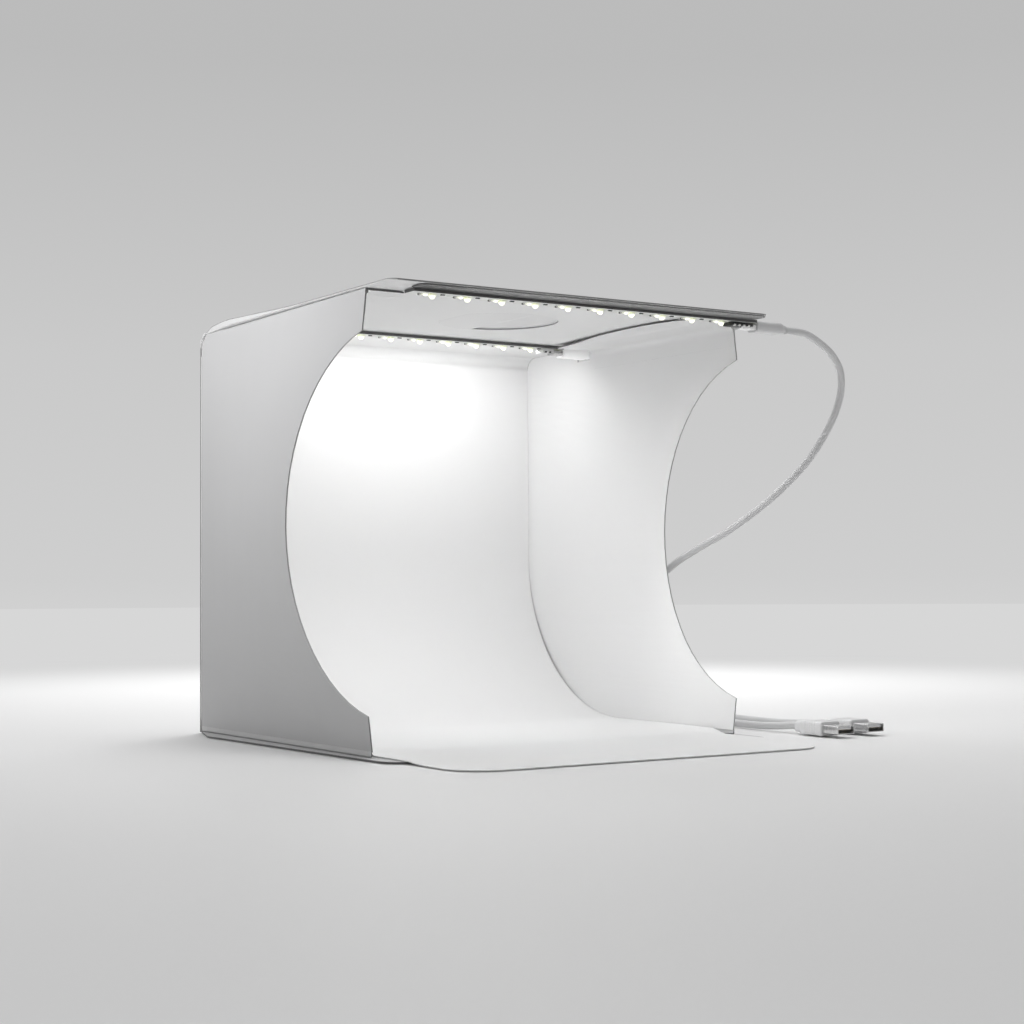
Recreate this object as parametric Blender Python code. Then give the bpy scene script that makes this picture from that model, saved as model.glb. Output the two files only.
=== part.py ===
"""Folding light tent cube for small products, with two lit boards under its lid.

One sheet makes the floor, the back and the lid, creased between them. Two side walls
hang on the back's edges, with a round cut-out in front and a flap at top and bottom.
A white backdrop sheet sweeps from the front tongue up the back. Metres, +Z up; the
origin is on the table, in the middle of the box that the part fills.
"""

import math

import bmesh
import bpy
from mathutils import Vector

# Sheet stock and the clearance between pieces that touch
SHEET = 0.0008
BACKDROP_SHEET = 0.0005
PAD_SHEET = 0.00035
FILM = 0.0004
SEAT = 0.0003
OVERRUN = 0.004

# The box
WALL_SPACING = 0.226
WALL_DEPTH = 0.202
BOX_HEIGHT = 0.230
BACK_OVERHANG = 0.003
BEND_RADIUS = 0.008

# Lid and its round hatch
LID_FRONT_OVERHANG = 0.028
LID_SIDE_OVERHANG = 0.005
LID_CORNER_RADIUS = 0.011
HATCH_RADIUS = 0.033
HATCH_FROM_FRONT = 0.095
HATCH_FROM_MIDDLE = 0.004
HATCH_CUT = 0.0005
HATCH_CREASE_SHARE = 0.9

# Floor
FLOOR_FRONT_OVERHANG = 0.028
FLOOR_FRONT_LEDGE = 0.005
FLOOR_REAR_LEDGE = 0.011
FLOOR_CORNER_RADIUS = 0.014
FLOOR_CHAMFER = 0.034

# Side walls: round cut-out, the straight edge left above and below it, then how far the
# free front edge bows outward at half its height and leans outward at its top
LEFT_CUTOUT_DEPTH = 0.0770
RIGHT_CUTOUT_DEPTH = 0.0720
CUTOUT_LOW_EDGE = 0.0173
CUTOUT_HIGH_EDGE = 0.0209
LEFT_BOW = 0.0087
RIGHT_BOW = 0.0096
BOW_POWER = 1.25
WALL_LEAN = 0.0028
WALL_CORNER_RADIUS = 0.0095

# Flaps and the tabs that join the walls to the back
LEFT_FLAP_WIDTH = 0.018
RIGHT_FLAP_WIDTH = 0.0255
LEFT_FLAP_BULGE = 0.004
RIGHT_FLAP_BULGE = 0.0095
BULGE_POWER = 0.55
BOTTOM_FLAP_WIDTH = 0.020
BOTTOM_FLAP_BACK_CLEARANCE = 0.010
TAB_WIDTH = 0.018
TAB_END_CLEARANCE = 0.004
LEAD_CLEARANCE = 0.004

# Grip pads
PAD_WIDTH = 0.012
PAD_LENGTH = 0.020
PAD_CORNER_RADIUS = 0.003
PAD_END_CLEARANCE = 0.010
STRIP_LENGTH = 0.120
BACK_PAD_SPACING = 0.120
BACK_PAD_FROM_TOP = 0.012

# Backdrop sheet
BACKDROP_WIDTH = 0.220
TONGUE_REACH = 0.082
TONGUE_CORNER_RADIUS = 0.022
TONGUE_FLAT = 0.036
SWEEP_RADIUS = 0.098
BACKDROP_TOP_CLEARANCE = 0.001

# Light boards
BOARD = 0.0018
BOARD_WIDTH = 0.010
FRONT_BOARD_AHEAD = 0.004
REAR_BOARD_BEHIND = 0.136
FRONT_BOARD_PAST_WALL = 0.0085
REAR_BOARD_SHORT_OF_WALL = 0.0170
FRONT_GROUPS = 10
REAR_GROUPS = 8
FRONT_PITCH = 0.0204
REAR_PITCH = 0.0194
LAST_GROUP_INSET = 0.0288
BOARD_LEFT_MARGIN = 0.006
LED_LENGTH = 0.0028
LED_WIDTH = 0.0035
LED_HEIGHT = 0.0007
FIRST_LED_STEP = 0.0026
SECOND_LED_STEP = 0.0080
FIRST_LED_ASIDE = -0.0012
SECOND_LED_ASIDE = 0.0014
RESISTOR_LENGTH = 0.0016
RESISTOR_WIDTH = 0.0008
RESISTOR_HEIGHT = 0.0005
RESISTOR_ASIDE = 0.0005
SOLDER_DEPTH = 0.0002
GLARE_STRIP_START = 0.019
GLARE_STRIP_FRONT_MARGIN = 0.001

# Micro sockets and their headers
SOCKET_LENGTH = 0.0066
SOCKET_WIDTH = 0.0080
SOCKET_HEIGHT = 0.0032
SOCKET_WALL = 0.0003
SOCKET_FROM_END = 0.0003
SOCKET_DEPTH = 0.0055
SOCKET_MOUTH_RADIUS = 0.0008
HEADER_LENGTH = 0.0080
HEADER_WIDTH = 0.0074
HEADER_HEIGHT = 0.0024

# Micro plugs
PLUG_ENTRY = 0.0050
PLUG_NECK = 0.0018
BOOT_LENGTH = 0.018
BOOT_WIDTH = 0.0105
BOOT_HEIGHT = 0.0064
BOOT_CORNER_RADIUS = 0.0026
BOOT_EDGE = 0.0007
COLLAR_LENGTH = 0.0035
COLLAR_RADIUS = 0.0028
LEAD_DIAMETER = 0.0042
NOTCH_CLEARANCE = 0.001

# USB-A plugs that lie on the table
MOULD_WIDTH = 0.0145
MOULD_LENGTH = 0.0175
MOULD_NECK_WIDTH = 0.0100
MOULD_NECK_LENGTH = 0.0065
MOULD_HEIGHT = 0.0078
MOULD_CORNER_RADIUS = 0.0016
MOULD_EDGE = 0.0005
SHELL_WIDTH = 0.0120
SHELL_HEIGHT = 0.0045
SHELL_LENGTH = 0.0120
SHELL_WALL = 0.0004
SHELL_DEPTH = 0.0090

# Leads: where each plug lies, then the route from the micro plug to it. The last
# points run straight into the plug, whose back is at the place given here.
FRONT_PLUG_AT = (0.1560, -0.0680)
REAR_PLUG_AT = (0.1800, -0.0660)
LEAD_STRAIGHT = 0.006
LEAD_STEP_DIAMETERS = 2.5
FRONT_ROUTE = [
    (0.1610, -0.0696, 0.2246),
    (0.1749, -0.0661, 0.2208),
    (0.1890, -0.0620, 0.2145),
    (0.1995, -0.0575, 0.2045),
    (0.2038, -0.0511, 0.1907),
    (0.2006, -0.0441, 0.1735),
    (0.1904, -0.0351, 0.1531),
    (0.1736, -0.0231, 0.1327),
    (0.1564, -0.0071, 0.1153),
    (0.1434, 0.0049, 0.1050),
    (0.1325, 0.0180, 0.0940),
    (0.1275, 0.0340, 0.0790),
    (0.1275, 0.0520, 0.0590),
    (0.1310, 0.0690, 0.0360),
    (0.1370, 0.0820, 0.0160),
    (0.1460, 0.0900, 0.0050),
    (0.1570, 0.0920, 0.0024),
    (0.1670, 0.0860, 0.0024),
    (0.1710, 0.0740, 0.0024),
    (0.1690, 0.0560, 0.0024),
    (0.1640, 0.0360, 0.0024),
    (0.1590, 0.0140, 0.0024),
    (0.1565, -0.0100, 0.0024),
    (0.1555, -0.0330, 0.0024),
    (0.1558, -0.0500, 0.0032),
]
REAR_ROUTE = [
    (0.1317, 0.0801, 0.2236),
    (0.1357, 0.0806, 0.2187),
    (0.1371, 0.0816, 0.2100),
    (0.1366, 0.0836, 0.1890),
    (0.1345, 0.0865, 0.1590),
    (0.1318, 0.0895, 0.1250),
    (0.1305, 0.0935, 0.0900),
    (0.1312, 0.0990, 0.0560),
    (0.1345, 0.1060, 0.0270),
    (0.1420, 0.1130, 0.0094),
    (0.1530, 0.1180, 0.0031),
    (0.1680, 0.1185, 0.0024),
    (0.1830, 0.1120, 0.0024),
    (0.1920, 0.0980, 0.0024),
    (0.1940, 0.0800, 0.0024),
    (0.1900, 0.0560, 0.0024),
    (0.1850, 0.0300, 0.0024),
    (0.1815, 0.0050, 0.0024),
    (0.1800, -0.0200, 0.0024),
    (0.1798, -0.0420, 0.0032),
]

# How finely round shapes are drawn
CORNER_STEPS = 6
CIRCLE_STEPS = 56
CUTOUT_STEPS = 26
WALL_COLUMNS = 7
SWEEP_STEPS = 16
RAMP_STEPS = 8
BULGE_STEPS = 10
BACKDROP_COLUMNS = 4
COLLAR_SIDES = 20

# Places along Y
back_stack = 2 * SEAT + 2 * SHEET
part_depth = TONGUE_REACH + WALL_DEPTH + back_stack
tongue_front = -part_depth / 2
wall_front = tongue_front + TONGUE_REACH
wall_rear = wall_front + WALL_DEPTH
tab_front = wall_rear + SEAT
tab_rear = tab_front + SHEET
back_inner = tab_rear + SEAT
back_outer = back_inner + SHEET
back_pad = (SHEET - SEAT) / 2
bend_front = back_outer - BEND_RADIUS
lid_rear = bend_front - SEAT
lid_front = wall_front - LID_FRONT_OVERHANG
floor_front = wall_front - FLOOR_FRONT_OVERHANG

# Places along Z, from the lid down and from the floor up
lid_under = BOX_HEIGHT - SHEET
ceiling_pad = lid_under - SEAT - PAD_SHEET
flap_pad = ceiling_pad - SEAT - PAD_SHEET
flap_under = flap_pad - SEAT - SHEET
wall_top = lid_under - SEAT
board_under = lid_under - SEAT - BOARD
socket_top = board_under - SEAT
plug_height = socket_top - SOCKET_HEIGHT / 2
boot_top = lid_under - SEAT
boot_under = boot_top - BOOT_HEIGHT
floor_pad = SHEET + SEAT
wall_pad = floor_pad + PAD_SHEET + SEAT
bottom_flap = wall_pad + PAD_SHEET + SEAT
wall_bottom = bottom_flap + SHEET + SEAT
backdrop_top = boot_under - BACKDROP_TOP_CLEARANCE

# Places along X
wall_middle = WALL_SPACING / 2
wall_outer = wall_middle + SHEET / 2
wall_inner = wall_middle - SHEET / 2
lid_half = wall_middle + LID_SIDE_OVERHANG
back_half = wall_middle + BACK_OVERHANG

# The two light boards, and the notch that lets the rear lead out
front_board_right = wall_middle + FRONT_BOARD_PAST_WALL
rear_board_right = wall_middle - REAR_BOARD_SHORT_OF_WALL
front_board_y = wall_front - FRONT_BOARD_AHEAD - BOARD_WIDTH / 2
rear_board_y = wall_front + REAR_BOARD_BEHIND + BOARD_WIDTH / 2
notch_half = BOOT_WIDTH / 2 + NOTCH_CLEARANCE
notch_low = boot_under - NOTCH_CLEARANCE

# Joint axes, as points on them
back_axis = Vector((0, back_outer, 0))
lid_axis = Vector((0, (lid_rear + bend_front) / 2, BOX_HEIGHT))
swing_x = wall_outer + SEAT / 2
swing_y = wall_rear + SEAT / 2
flap_axis_x = wall_inner + WALL_LEAN
flap_axis_z = flap_under - SEAT / 2
hatch_crease = HATCH_FROM_MIDDLE - HATCH_RADIUS * HATCH_CREASE_SHARE
hatch_y = lid_front + HATCH_FROM_FRONT


def clear_scene():
    for old in list(bpy.data.objects):
        bpy.data.objects.remove(old, do_unlink=True)


def material(name, colour, roughness, metallic=0.0):
    made = bpy.data.materials.new(name)
    made.use_nodes = True
    shader = made.node_tree.nodes["Principled BSDF"]
    shader.inputs["Base Color"].default_value = (*colour, 1)
    shader.inputs["Roughness"].default_value = roughness
    shader.inputs["Metallic"].default_value = metallic
    made.diffuse_color = (*colour, 1)
    return made


def axis_empty(name, at, parent=None):
    """An empty on a joint's axis, which the pieces of its body hang from."""
    made = bpy.data.objects.new(name, None)
    bpy.context.collection.objects.link(made)
    made.parent = parent
    made.location = Vector(at) - (placed[parent.name] if parent else Vector())
    placed[name] = Vector(at)
    return made


def piece(name, bm, look, parent=None, smooth=None, bevel=0):
    """A node from a mesh drawn in place. Its origin goes to its parent's axis."""
    origin = placed[parent.name] if parent else Vector()
    bmesh.ops.recalc_face_normals(bm, faces=bm.faces)
    bmesh.ops.translate(bm, verts=bm.verts, vec=-origin)
    mesh = bpy.data.meshes.new(name)
    bm.to_mesh(mesh)
    bm.free()
    made = bpy.data.objects.new(name, mesh)
    bpy.context.collection.objects.link(made)
    mesh.materials.append(look)
    made.parent = parent
    if smooth:
        mesh.shade_smooth()
        mesh.set_sharp_from_angle(angle=smooth)
    if bevel:
        edge = made.modifiers.new("edge", "BEVEL")
        edge.width = bevel
        edge.segments = 2
        edge.limit_method = "ANGLE"
        edge.angle_limit = ROUND
    return made


def combine(body, tool, operation):
    """A live Boolean on body. The tool stays in the file as a hidden guide."""
    tool.display_type = "WIRE"
    tool.hide_render = True
    cut = body.modifiers.new(operation.lower(), "BOOLEAN")
    cut.operation = operation
    cut.solver = "EXACT"
    cut.object = tool


def fillet(corners):
    """An outline from (a, b, radius) corners, with each radius drawn as an arc."""
    outline = []
    for i, (a, b, radius) in enumerate(corners):
        here = Vector((a, b))
        before = Vector(corners[i - 1][:2]) - here
        after = Vector(corners[(i + 1) % len(corners)][:2]) - here
        if not radius:
            outline.append(tuple(here))
            continue
        before.normalize()
        after.normalize()
        half = before.angle(after) / 2
        middle = here + (before + after).normalized() * (radius / math.sin(half))
        start = here + before * (radius / math.tan(half)) - middle
        turn = math.copysign(math.pi - 2 * half, before.cross(after))
        for step in range(CORNER_STEPS + 1):
            angle = -turn * step / CORNER_STEPS
            c, s = math.cos(angle), math.sin(angle)
            x, y = start
            outline.append((middle.x + x * c - y * s, middle.y + x * s + y * c))
    return outline


def rectangle(a0, b0, a1, b1, radius=0.0):
    return fillet([(a0, b0, radius), (a1, b0, radius), (a1, b1, radius), (a0, b1, radius)])


def prism(outline, low, high, along="Z", bm=None):
    """A straight solid: the outline lies across the axis, from low to high on it."""
    place = {
        "Z": lambda a, b, c: (a, b, c),
        "X": lambda a, b, c: (c, a, b),
        "Y": lambda a, b, c: (b, c, a),
    }[along]
    bm = bm or bmesh.new()
    under = [bm.verts.new(place(a, b, low)) for a, b in outline]
    over = [bm.verts.new(place(a, b, high)) for a, b in outline]
    bm.faces.new(under[::-1])
    bm.faces.new(over)
    for i in range(len(outline)):
        bm.faces.new((under[i - 1], under[i], over[i], over[i - 1]))
    return bm


def shell(one, other):
    """A closed thin sheet between two grids of points with the same rows and columns."""
    bm = bmesh.new()
    near = [[bm.verts.new(p) for p in row] for row in one]
    far = [[bm.verts.new(p) for p in row] for row in other]
    rows, columns = len(one), len(one[0])
    for i in range(rows - 1):
        for j in range(columns - 1):
            bm.faces.new((near[i][j], near[i][j + 1], near[i + 1][j + 1], near[i + 1][j]))
            bm.faces.new((far[i][j], far[i + 1][j], far[i + 1][j + 1], far[i][j + 1]))
    for i in range(rows - 1):
        for j in (0, columns - 1):
            bm.faces.new((near[i][j], near[i + 1][j], far[i + 1][j], far[i][j]))
    for j in range(columns - 1):
        for i in (0, rows - 1):
            bm.faces.new((near[i][j], near[i][j + 1], far[i][j + 1], far[i][j]))
    return bm


def make_floor():
    front = wall_middle + FLOOR_FRONT_LEDGE
    rear = wall_middle + FLOOR_REAR_LEDGE
    end = back_inner - SEAT
    half = [
        (front, floor_front, FLOOR_CORNER_RADIUS),
        (rear, end - FLOOR_CHAMFER, FLOOR_CORNER_RADIUS),
        (wall_middle, end, 0),
    ]
    mirrored = [(-x, y, radius) for x, y, radius in reversed(half)]
    piece("floor_panel", prism(fillet(half + mirrored), 0, SHEET), grey_sheet)
    for side, name in SIDES:
        grip_strip(f"floor_loop_strip_{name}", side, floor_pad, loop_white, None)


def grip_strip(name, side, low, look, parent):
    """A long strip under a wall's bottom flap, on the floor or on the flap."""
    middle = side * (wall_inner - BOTTOM_FLAP_WIDTH / 2)
    start = (wall_front + wall_rear - STRIP_LENGTH) / 2
    outline = rectangle(
        middle - PAD_WIDTH / 2, start, middle + PAD_WIDTH / 2, start + STRIP_LENGTH,
        PAD_CORNER_RADIUS,
    )
    piece(name, prism(outline, low, low + PAD_SHEET), look, parent)


def backdrop_profile():
    """Points (y, z, turn) along the underside, where turn tilts the sheet's own normal.

    The tongue lies on the table, ramps up over the floor's front edge and the bottom
    flaps, runs flat, then sweeps up a quarter circle to the back.
    """
    rise = wall_bottom
    rear = tab_front - SEAT
    ramp_start = tongue_front + TONGUE_FLAT
    ramp = wall_front - SEAT - ramp_start
    slope = rise / ramp
    points = [(tongue_front + TONGUE_CORNER_RADIUS * share, 0, 0) for share in corner_shares]
    for step in range(RAMP_STEPS + 1):
        t = step / RAMP_STEPS
        height = rise * (3 * t * t - 2 * t**3)
        points.append((ramp_start + ramp * t, height, math.atan(6 * slope * (t - t * t))))
    centre_y = rear - SWEEP_RADIUS
    for step in range(SWEEP_STEPS + 1):
        angle = math.pi / 2 * step / SWEEP_STEPS
        points.append((
            centre_y + SWEEP_RADIUS * math.sin(angle),
            rise + SWEEP_RADIUS * (1 - math.cos(angle)),
            angle,
        ))
    points.append((rear, backdrop_top, math.pi / 2))
    return points


def make_backdrop():
    under, over = [], []
    half = BACKDROP_WIDTH / 2
    for y, z, turn in backdrop_profile():
        inset = max(0.0, TONGUE_CORNER_RADIUS - (y - tongue_front))
        corner = TONGUE_CORNER_RADIUS - math.sqrt(TONGUE_CORNER_RADIUS**2 - inset**2)
        reach = half - corner
        xs = [reach * (2 * j / BACKDROP_COLUMNS - 1) for j in range(BACKDROP_COLUMNS + 1)]
        under.append([(x, y, z) for x in xs])
        lift = z + BACKDROP_SHEET * math.cos(turn)
        back = y - BACKDROP_SHEET * math.sin(turn)
        over.append([(x, back, lift) for x in xs])
    piece("backdrop_sheet", shell(under, over), white_sheet, backdrop_axis, ROUND)
    face = tab_front
    for side, name in SIDES:
        outline = back_pad_outline(side)
        bm = prism(outline, face, face + back_pad, "Y")
        piece(f"backdrop_loop_pad_{name}", bm, loop_white, backdrop_axis)


def back_pad_outline(side):
    """Outline (z, x) of the pads that hold the backdrop's top edge."""
    middle = side * BACK_PAD_SPACING / 2
    top = backdrop_top - BACK_PAD_FROM_TOP
    return rectangle(
        top - PAD_WIDTH, middle - PAD_LENGTH / 2, top, middle + PAD_LENGTH / 2,
        PAD_CORNER_RADIUS,
    )


def make_back():
    straight = BOX_HEIGHT - BEND_RADIUS
    outer, inner = [(back_outer, SEAT)], [(back_inner, SEAT)]
    for step in range(CORNER_STEPS + 1):
        angle = math.pi / 2 * step / CORNER_STEPS
        c, s = math.cos(angle), math.sin(angle)
        outer.append((bend_front + BEND_RADIUS * c, straight + BEND_RADIUS * s))
        thin = BEND_RADIUS - SHEET
        inner.append((bend_front + thin * c, straight + thin * s))
    bm = prism(outer + inner[::-1], -back_half, back_half, "X")
    piece("back_panel", bm, grey_sheet, back_body, ROUND)
    for side, name in SIDES:
        edge = side * wall_outer
        inward = side * (wall_outer - TAB_WIDTH)
        low = wall_bottom + TAB_END_CLEARANCE
        high = wall_top - BEND_RADIUS - TAB_END_CLEARANCE
        outline = rectangle(low, min(edge, inward), high, max(edge, inward))
        bm = prism(outline, tab_front, tab_rear, "Y")
        piece(f"{name}_hinge_tab", bm, white_sheet, back_body)
        face = back_inner - SEAT - back_pad
        bm = prism(back_pad_outline(side), face, face + back_pad, "Y")
        piece(f"back_hook_pad_{name}", bm, hook_grey, back_body)


def make_lid():
    radius = LID_CORNER_RADIUS
    outline = fillet([
        (-lid_half, lid_front, radius), (lid_half, lid_front, radius),
        (lid_half, lid_rear, 0), (-lid_half, lid_rear, 0),
    ])
    lid = piece("top_panel", prism(outline, lid_under, BOX_HEIGHT), grey_sheet, lid_body)
    low, high = lid_under - OVERRUN, BOX_HEIGHT + OVERRUN
    hole = prism(hatch_outline(HATCH_RADIUS, hatch_crease), low, high)
    combine(lid, piece("hatch_cutter", hole, grey_sheet, lid_body), "DIFFERENCE")
    disc = hatch_outline(HATCH_RADIUS - HATCH_CUT, hatch_crease + SEAT)
    piece("round_hatch", prism(disc, lid_under, BOX_HEIGHT), white_sheet, hatch_body)
    strip = rectangle(
        GLARE_STRIP_START - wall_middle, lid_front + GLARE_STRIP_FRONT_MARGIN,
        lid_half - GLARE_STRIP_FRONT_MARGIN, front_board_y - BOARD_WIDTH / 2 - SEAT,
    )
    top = lid_under - SEAT
    piece("front_glare_strip", prism(strip, top - FILM, top), dark_film, lid_body)
    for side, name in SIDES:
        for place, outline in flap_pads(side):
            bm = prism(outline, ceiling_pad, ceiling_pad + PAD_SHEET)
            piece(f"ceiling_loop_pad_{name}_{place}", bm, loop_white, lid_body)


def hatch_outline(radius, crease):
    """A disc whose left side is cut straight along the crease."""
    reach = math.acos((crease - HATCH_FROM_MIDDLE) / radius)
    steps = [reach * (2 * i / CIRCLE_STEPS - 1) for i in range(CIRCLE_STEPS + 1)]
    return [
        (HATCH_FROM_MIDDLE + radius * math.cos(a), hatch_y + radius * math.sin(a))
        for a in steps
    ]


def flap_end(side):
    """Where a top flap ends at the back. The right one stops short of the rear lead."""
    if side > 0:
        return rear_board_y - notch_half - LEAD_CLEARANCE
    return wall_rear - WALL_CORNER_RADIUS


def flap_pads(side):
    middle = side * (wall_inner - FLAP_WIDTHS[side] / 2)
    ends = {
        "front": wall_front + PAD_END_CLEARANCE,
        "rear": flap_end(side) - PAD_END_CLEARANCE - PAD_LENGTH,
    }
    for place, start in ends.items():
        yield place, rectangle(
            middle - PAD_WIDTH / 2, start, middle + PAD_WIDTH / 2, start + PAD_LENGTH,
            PAD_CORNER_RADIUS,
        )


def make_flaps(side, name, wall_body, flap_body):
    end = flap_end(side)
    inner = []
    for step in range(BULGE_STEPS + 1):
        t = step / BULGE_STEPS
        bulge = FLAP_BULGES[side] * math.sin(math.pi * t**BULGE_POWER)
        x = wall_inner - FLAP_WIDTHS[side] - bulge
        inner.append((side * x, wall_front + (end - wall_front) * t))
    outer = wall_inner - SEAT
    lean = WALL_LEAN * (1 - (end - wall_front) / WALL_DEPTH)
    outline = [(side * (outer + WALL_LEAN), wall_front)] + inner + [(side * (outer + lean), end)]
    bm = prism(outline, flap_under, flap_under + SHEET)
    piece(f"{name}_top_flap", bm, white_sheet, flap_body)
    for place, pad in flap_pads(side):
        bm = prism(pad, flap_pad, flap_pad + PAD_SHEET)
        piece(f"flap_hook_pad_{name}_{place}", bm, hook_grey, flap_body)
    xs = sorted((side * wall_outer, side * (wall_inner - BOTTOM_FLAP_WIDTH)))
    outline = rectangle(xs[0], wall_front, xs[1], wall_rear - BOTTOM_FLAP_BACK_CLEARANCE)
    bm = prism(outline, bottom_flap, bottom_flap + SHEET)
    piece(f"{name}_bottom_flap", bm, white_sheet, wall_body)
    grip_strip(f"wall_hook_strip_{name}", side, wall_pad, hook_grey, wall_body)


def wall_rows(depth):
    """Rows (z, front y, rear y) up a side wall, round its cut-out and its rear corner."""
    low, high = wall_bottom + CUTOUT_LOW_EDGE, wall_top - CUTOUT_HIGH_EDGE
    half_chord = (high - low) / 2
    cutout = (half_chord**2 + depth**2) / (2 * depth)
    middle = (low + high) / 2
    centre = wall_front + depth - cutout
    reach = math.atan2(half_chord, wall_front - centre)
    rows = [(wall_bottom, wall_front, wall_rear)]
    for step in range(CUTOUT_STEPS + 1):
        angle = reach * (2 * step / CUTOUT_STEPS - 1)
        y = centre + cutout * math.cos(angle)
        rows.append((middle + cutout * math.sin(angle), y, wall_rear))
    radius = WALL_CORNER_RADIUS
    for step in range(CORNER_STEPS + 1):
        angle = math.pi / 2 * step / CORNER_STEPS
        rear = wall_rear - radius + radius * math.cos(angle)
        rows.append((wall_top - radius + radius * math.sin(angle), wall_front, rear))
    return rows


def make_wall(side, name, bow, depth, wall_body):
    """A sheet whose free front edge bows outward at half its height and leans at its top."""
    outer, inner = [], []
    tall = wall_top - wall_bottom
    for z, front, rear in wall_rows(depth):
        arch = 4 * (z - wall_bottom) * (wall_top - z) / tall**2
        bulge = bow * arch**BOW_POWER
        lean = WALL_LEAN * (z - wall_bottom) / tall
        out_row, in_row = [], []
        for j in range(WALL_COLUMNS + 1):
            y = front + (rear - front) * j / WALL_COLUMNS
            t = (y - wall_front) / WALL_DEPTH
            x = wall_middle + bulge * (1 - t * t) + lean * (1 - t)
            out_row.append((side * (x + SHEET / 2), y, z))
            in_row.append((side * (x - SHEET / 2), y, z))
        outer.append(out_row)
        inner.append(in_row)
    wall = piece(f"{name}_side_wall", shell(outer, inner), grey_sheet, wall_body, ROUND)
    if side > 0:
        outline = rectangle(
            rear_board_y - notch_half, notch_low, rear_board_y + notch_half, wall_top + OVERRUN
        )
        bm = prism(outline, wall_inner - OVERRUN, wall_outer + RIGHT_BOW + OVERRUN, "X")
        combine(wall, piece("lead_notch_cutter", bm, grey_sheet, wall_body), "DIFFERENCE")


def make_board(name, middle, right, groups, pitch):
    """A board whose groups of two LEDs and a resistor are soldered to its underside."""
    last = right - LAST_GROUP_INSET
    first = last - (groups - 1) * pitch
    half = BOARD_WIDTH / 2
    outline = rectangle(first - BOARD_LEFT_MARGIN, middle - half, right, middle + half)
    bm = prism(outline, board_under, board_under + BOARD)
    board = piece(f"{name}_light_board", bm, board_white, lid_body)
    bumps = bmesh.new()
    for group in range(groups):
        at = first + group * pitch
        for step, aside, long, wide, tall in (
            (0, RESISTOR_ASIDE, RESISTOR_WIDTH, RESISTOR_LENGTH, RESISTOR_HEIGHT),
            (FIRST_LED_STEP, FIRST_LED_ASIDE, LED_LENGTH, LED_WIDTH, LED_HEIGHT),
            (SECOND_LED_STEP, SECOND_LED_ASIDE, LED_LENGTH, LED_WIDTH, LED_HEIGHT),
        ):
            x, y = at + step, middle + aside
            outline = rectangle(x - long / 2, y - wide / 2, x + long / 2, y + wide / 2)
            prism(outline, board_under - tall, board_under + SOLDER_DEPTH, bm=bumps)
    combine(board, piece(f"{name}_led_guide", bumps, board_white, lid_body), "UNION")
    make_socket(name, middle, right)


def make_socket(name, middle, right):
    """A micro socket at the board's end and the black header block behind it."""
    mouth = right - SOCKET_FROM_END
    back = mouth - SOCKET_LENGTH
    half, tall = SOCKET_WIDTH / 2, SOCKET_HEIGHT / 2
    outline = rectangle(
        middle - half, plug_height - tall, middle + half, plug_height + tall,
        SOCKET_MOUTH_RADIUS,
    )
    socket = piece(f"{name}_micro_socket", prism(outline, back, mouth, "X"), steel, lid_body)
    half, tall = half - SOCKET_WALL, tall - SOCKET_WALL
    outline = rectangle(
        middle - half, plug_height - tall, middle + half, plug_height + tall,
        SOCKET_MOUTH_RADIUS - SOCKET_WALL,
    )
    hole = prism(outline, mouth - SOCKET_DEPTH, mouth + OVERRUN, "X")
    combine(socket, piece(f"{name}_socket_cutter", hole, steel, lid_body), "DIFFERENCE")
    end = back - SEAT
    half = HEADER_WIDTH / 2
    outline = rectangle(end - HEADER_LENGTH, middle - half, end, middle + half)
    bm = prism(outline, socket_top - HEADER_HEIGHT, socket_top)
    piece(f"{name}_socket_header", bm, black_plastic, lid_body)


def make_micro_plug(name, middle, right, plug_body):
    """Metal tongue in the socket, moulded boot and the collar that the lead leaves."""
    mouth = right - SOCKET_FROM_END
    half = SOCKET_WIDTH / 2 - SOCKET_WALL - SEAT
    tall = SOCKET_HEIGHT / 2 - SOCKET_WALL - SEAT
    neck_end = mouth + PLUG_NECK
    outline = rectangle(
        middle - half, plug_height - tall, middle + half, plug_height + tall,
        SOCKET_WALL,
    )
    bm = prism(outline, mouth - PLUG_ENTRY, neck_end, "X")
    piece(f"{name}_micro_plug_shell", bm, steel, plug_body)
    start = neck_end + SEAT
    end = start + BOOT_LENGTH
    outline = rectangle(
        middle - BOOT_WIDTH / 2, boot_under, middle + BOOT_WIDTH / 2, boot_top,
        BOOT_CORNER_RADIUS,
    )
    bm = prism(outline, start, end, "X")
    piece(f"{name}_micro_plug_boot", bm, boot_grey, plug_body, ROUND, BOOT_EDGE)
    start = end + SEAT
    end = start + COLLAR_LENGTH
    rings = []
    for x, radius in ((start, COLLAR_RADIUS), (end, (COLLAR_RADIUS + LEAD_DIAMETER / 2) / 2)):
        turns = [2 * math.pi * i / COLLAR_SIDES for i in range(COLLAR_SIDES)]
        rings.append([
            (x, middle + radius * math.cos(a), plug_height + radius * math.sin(a))
            for a in turns
        ])
    bm = bmesh.new()
    near, far = ([bm.verts.new(p) for p in ring] for ring in rings)
    bm.faces.new(near)
    bm.faces.new(far[::-1])
    for i in range(COLLAR_SIDES):
        bm.faces.new((near[i - 1], near[i], far[i], far[i - 1]))
    piece(f"{name}_plug_collar", bm, boot_grey, plug_body, ROUND)
    return Vector((end + SEAT, middle, plug_height))


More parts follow.
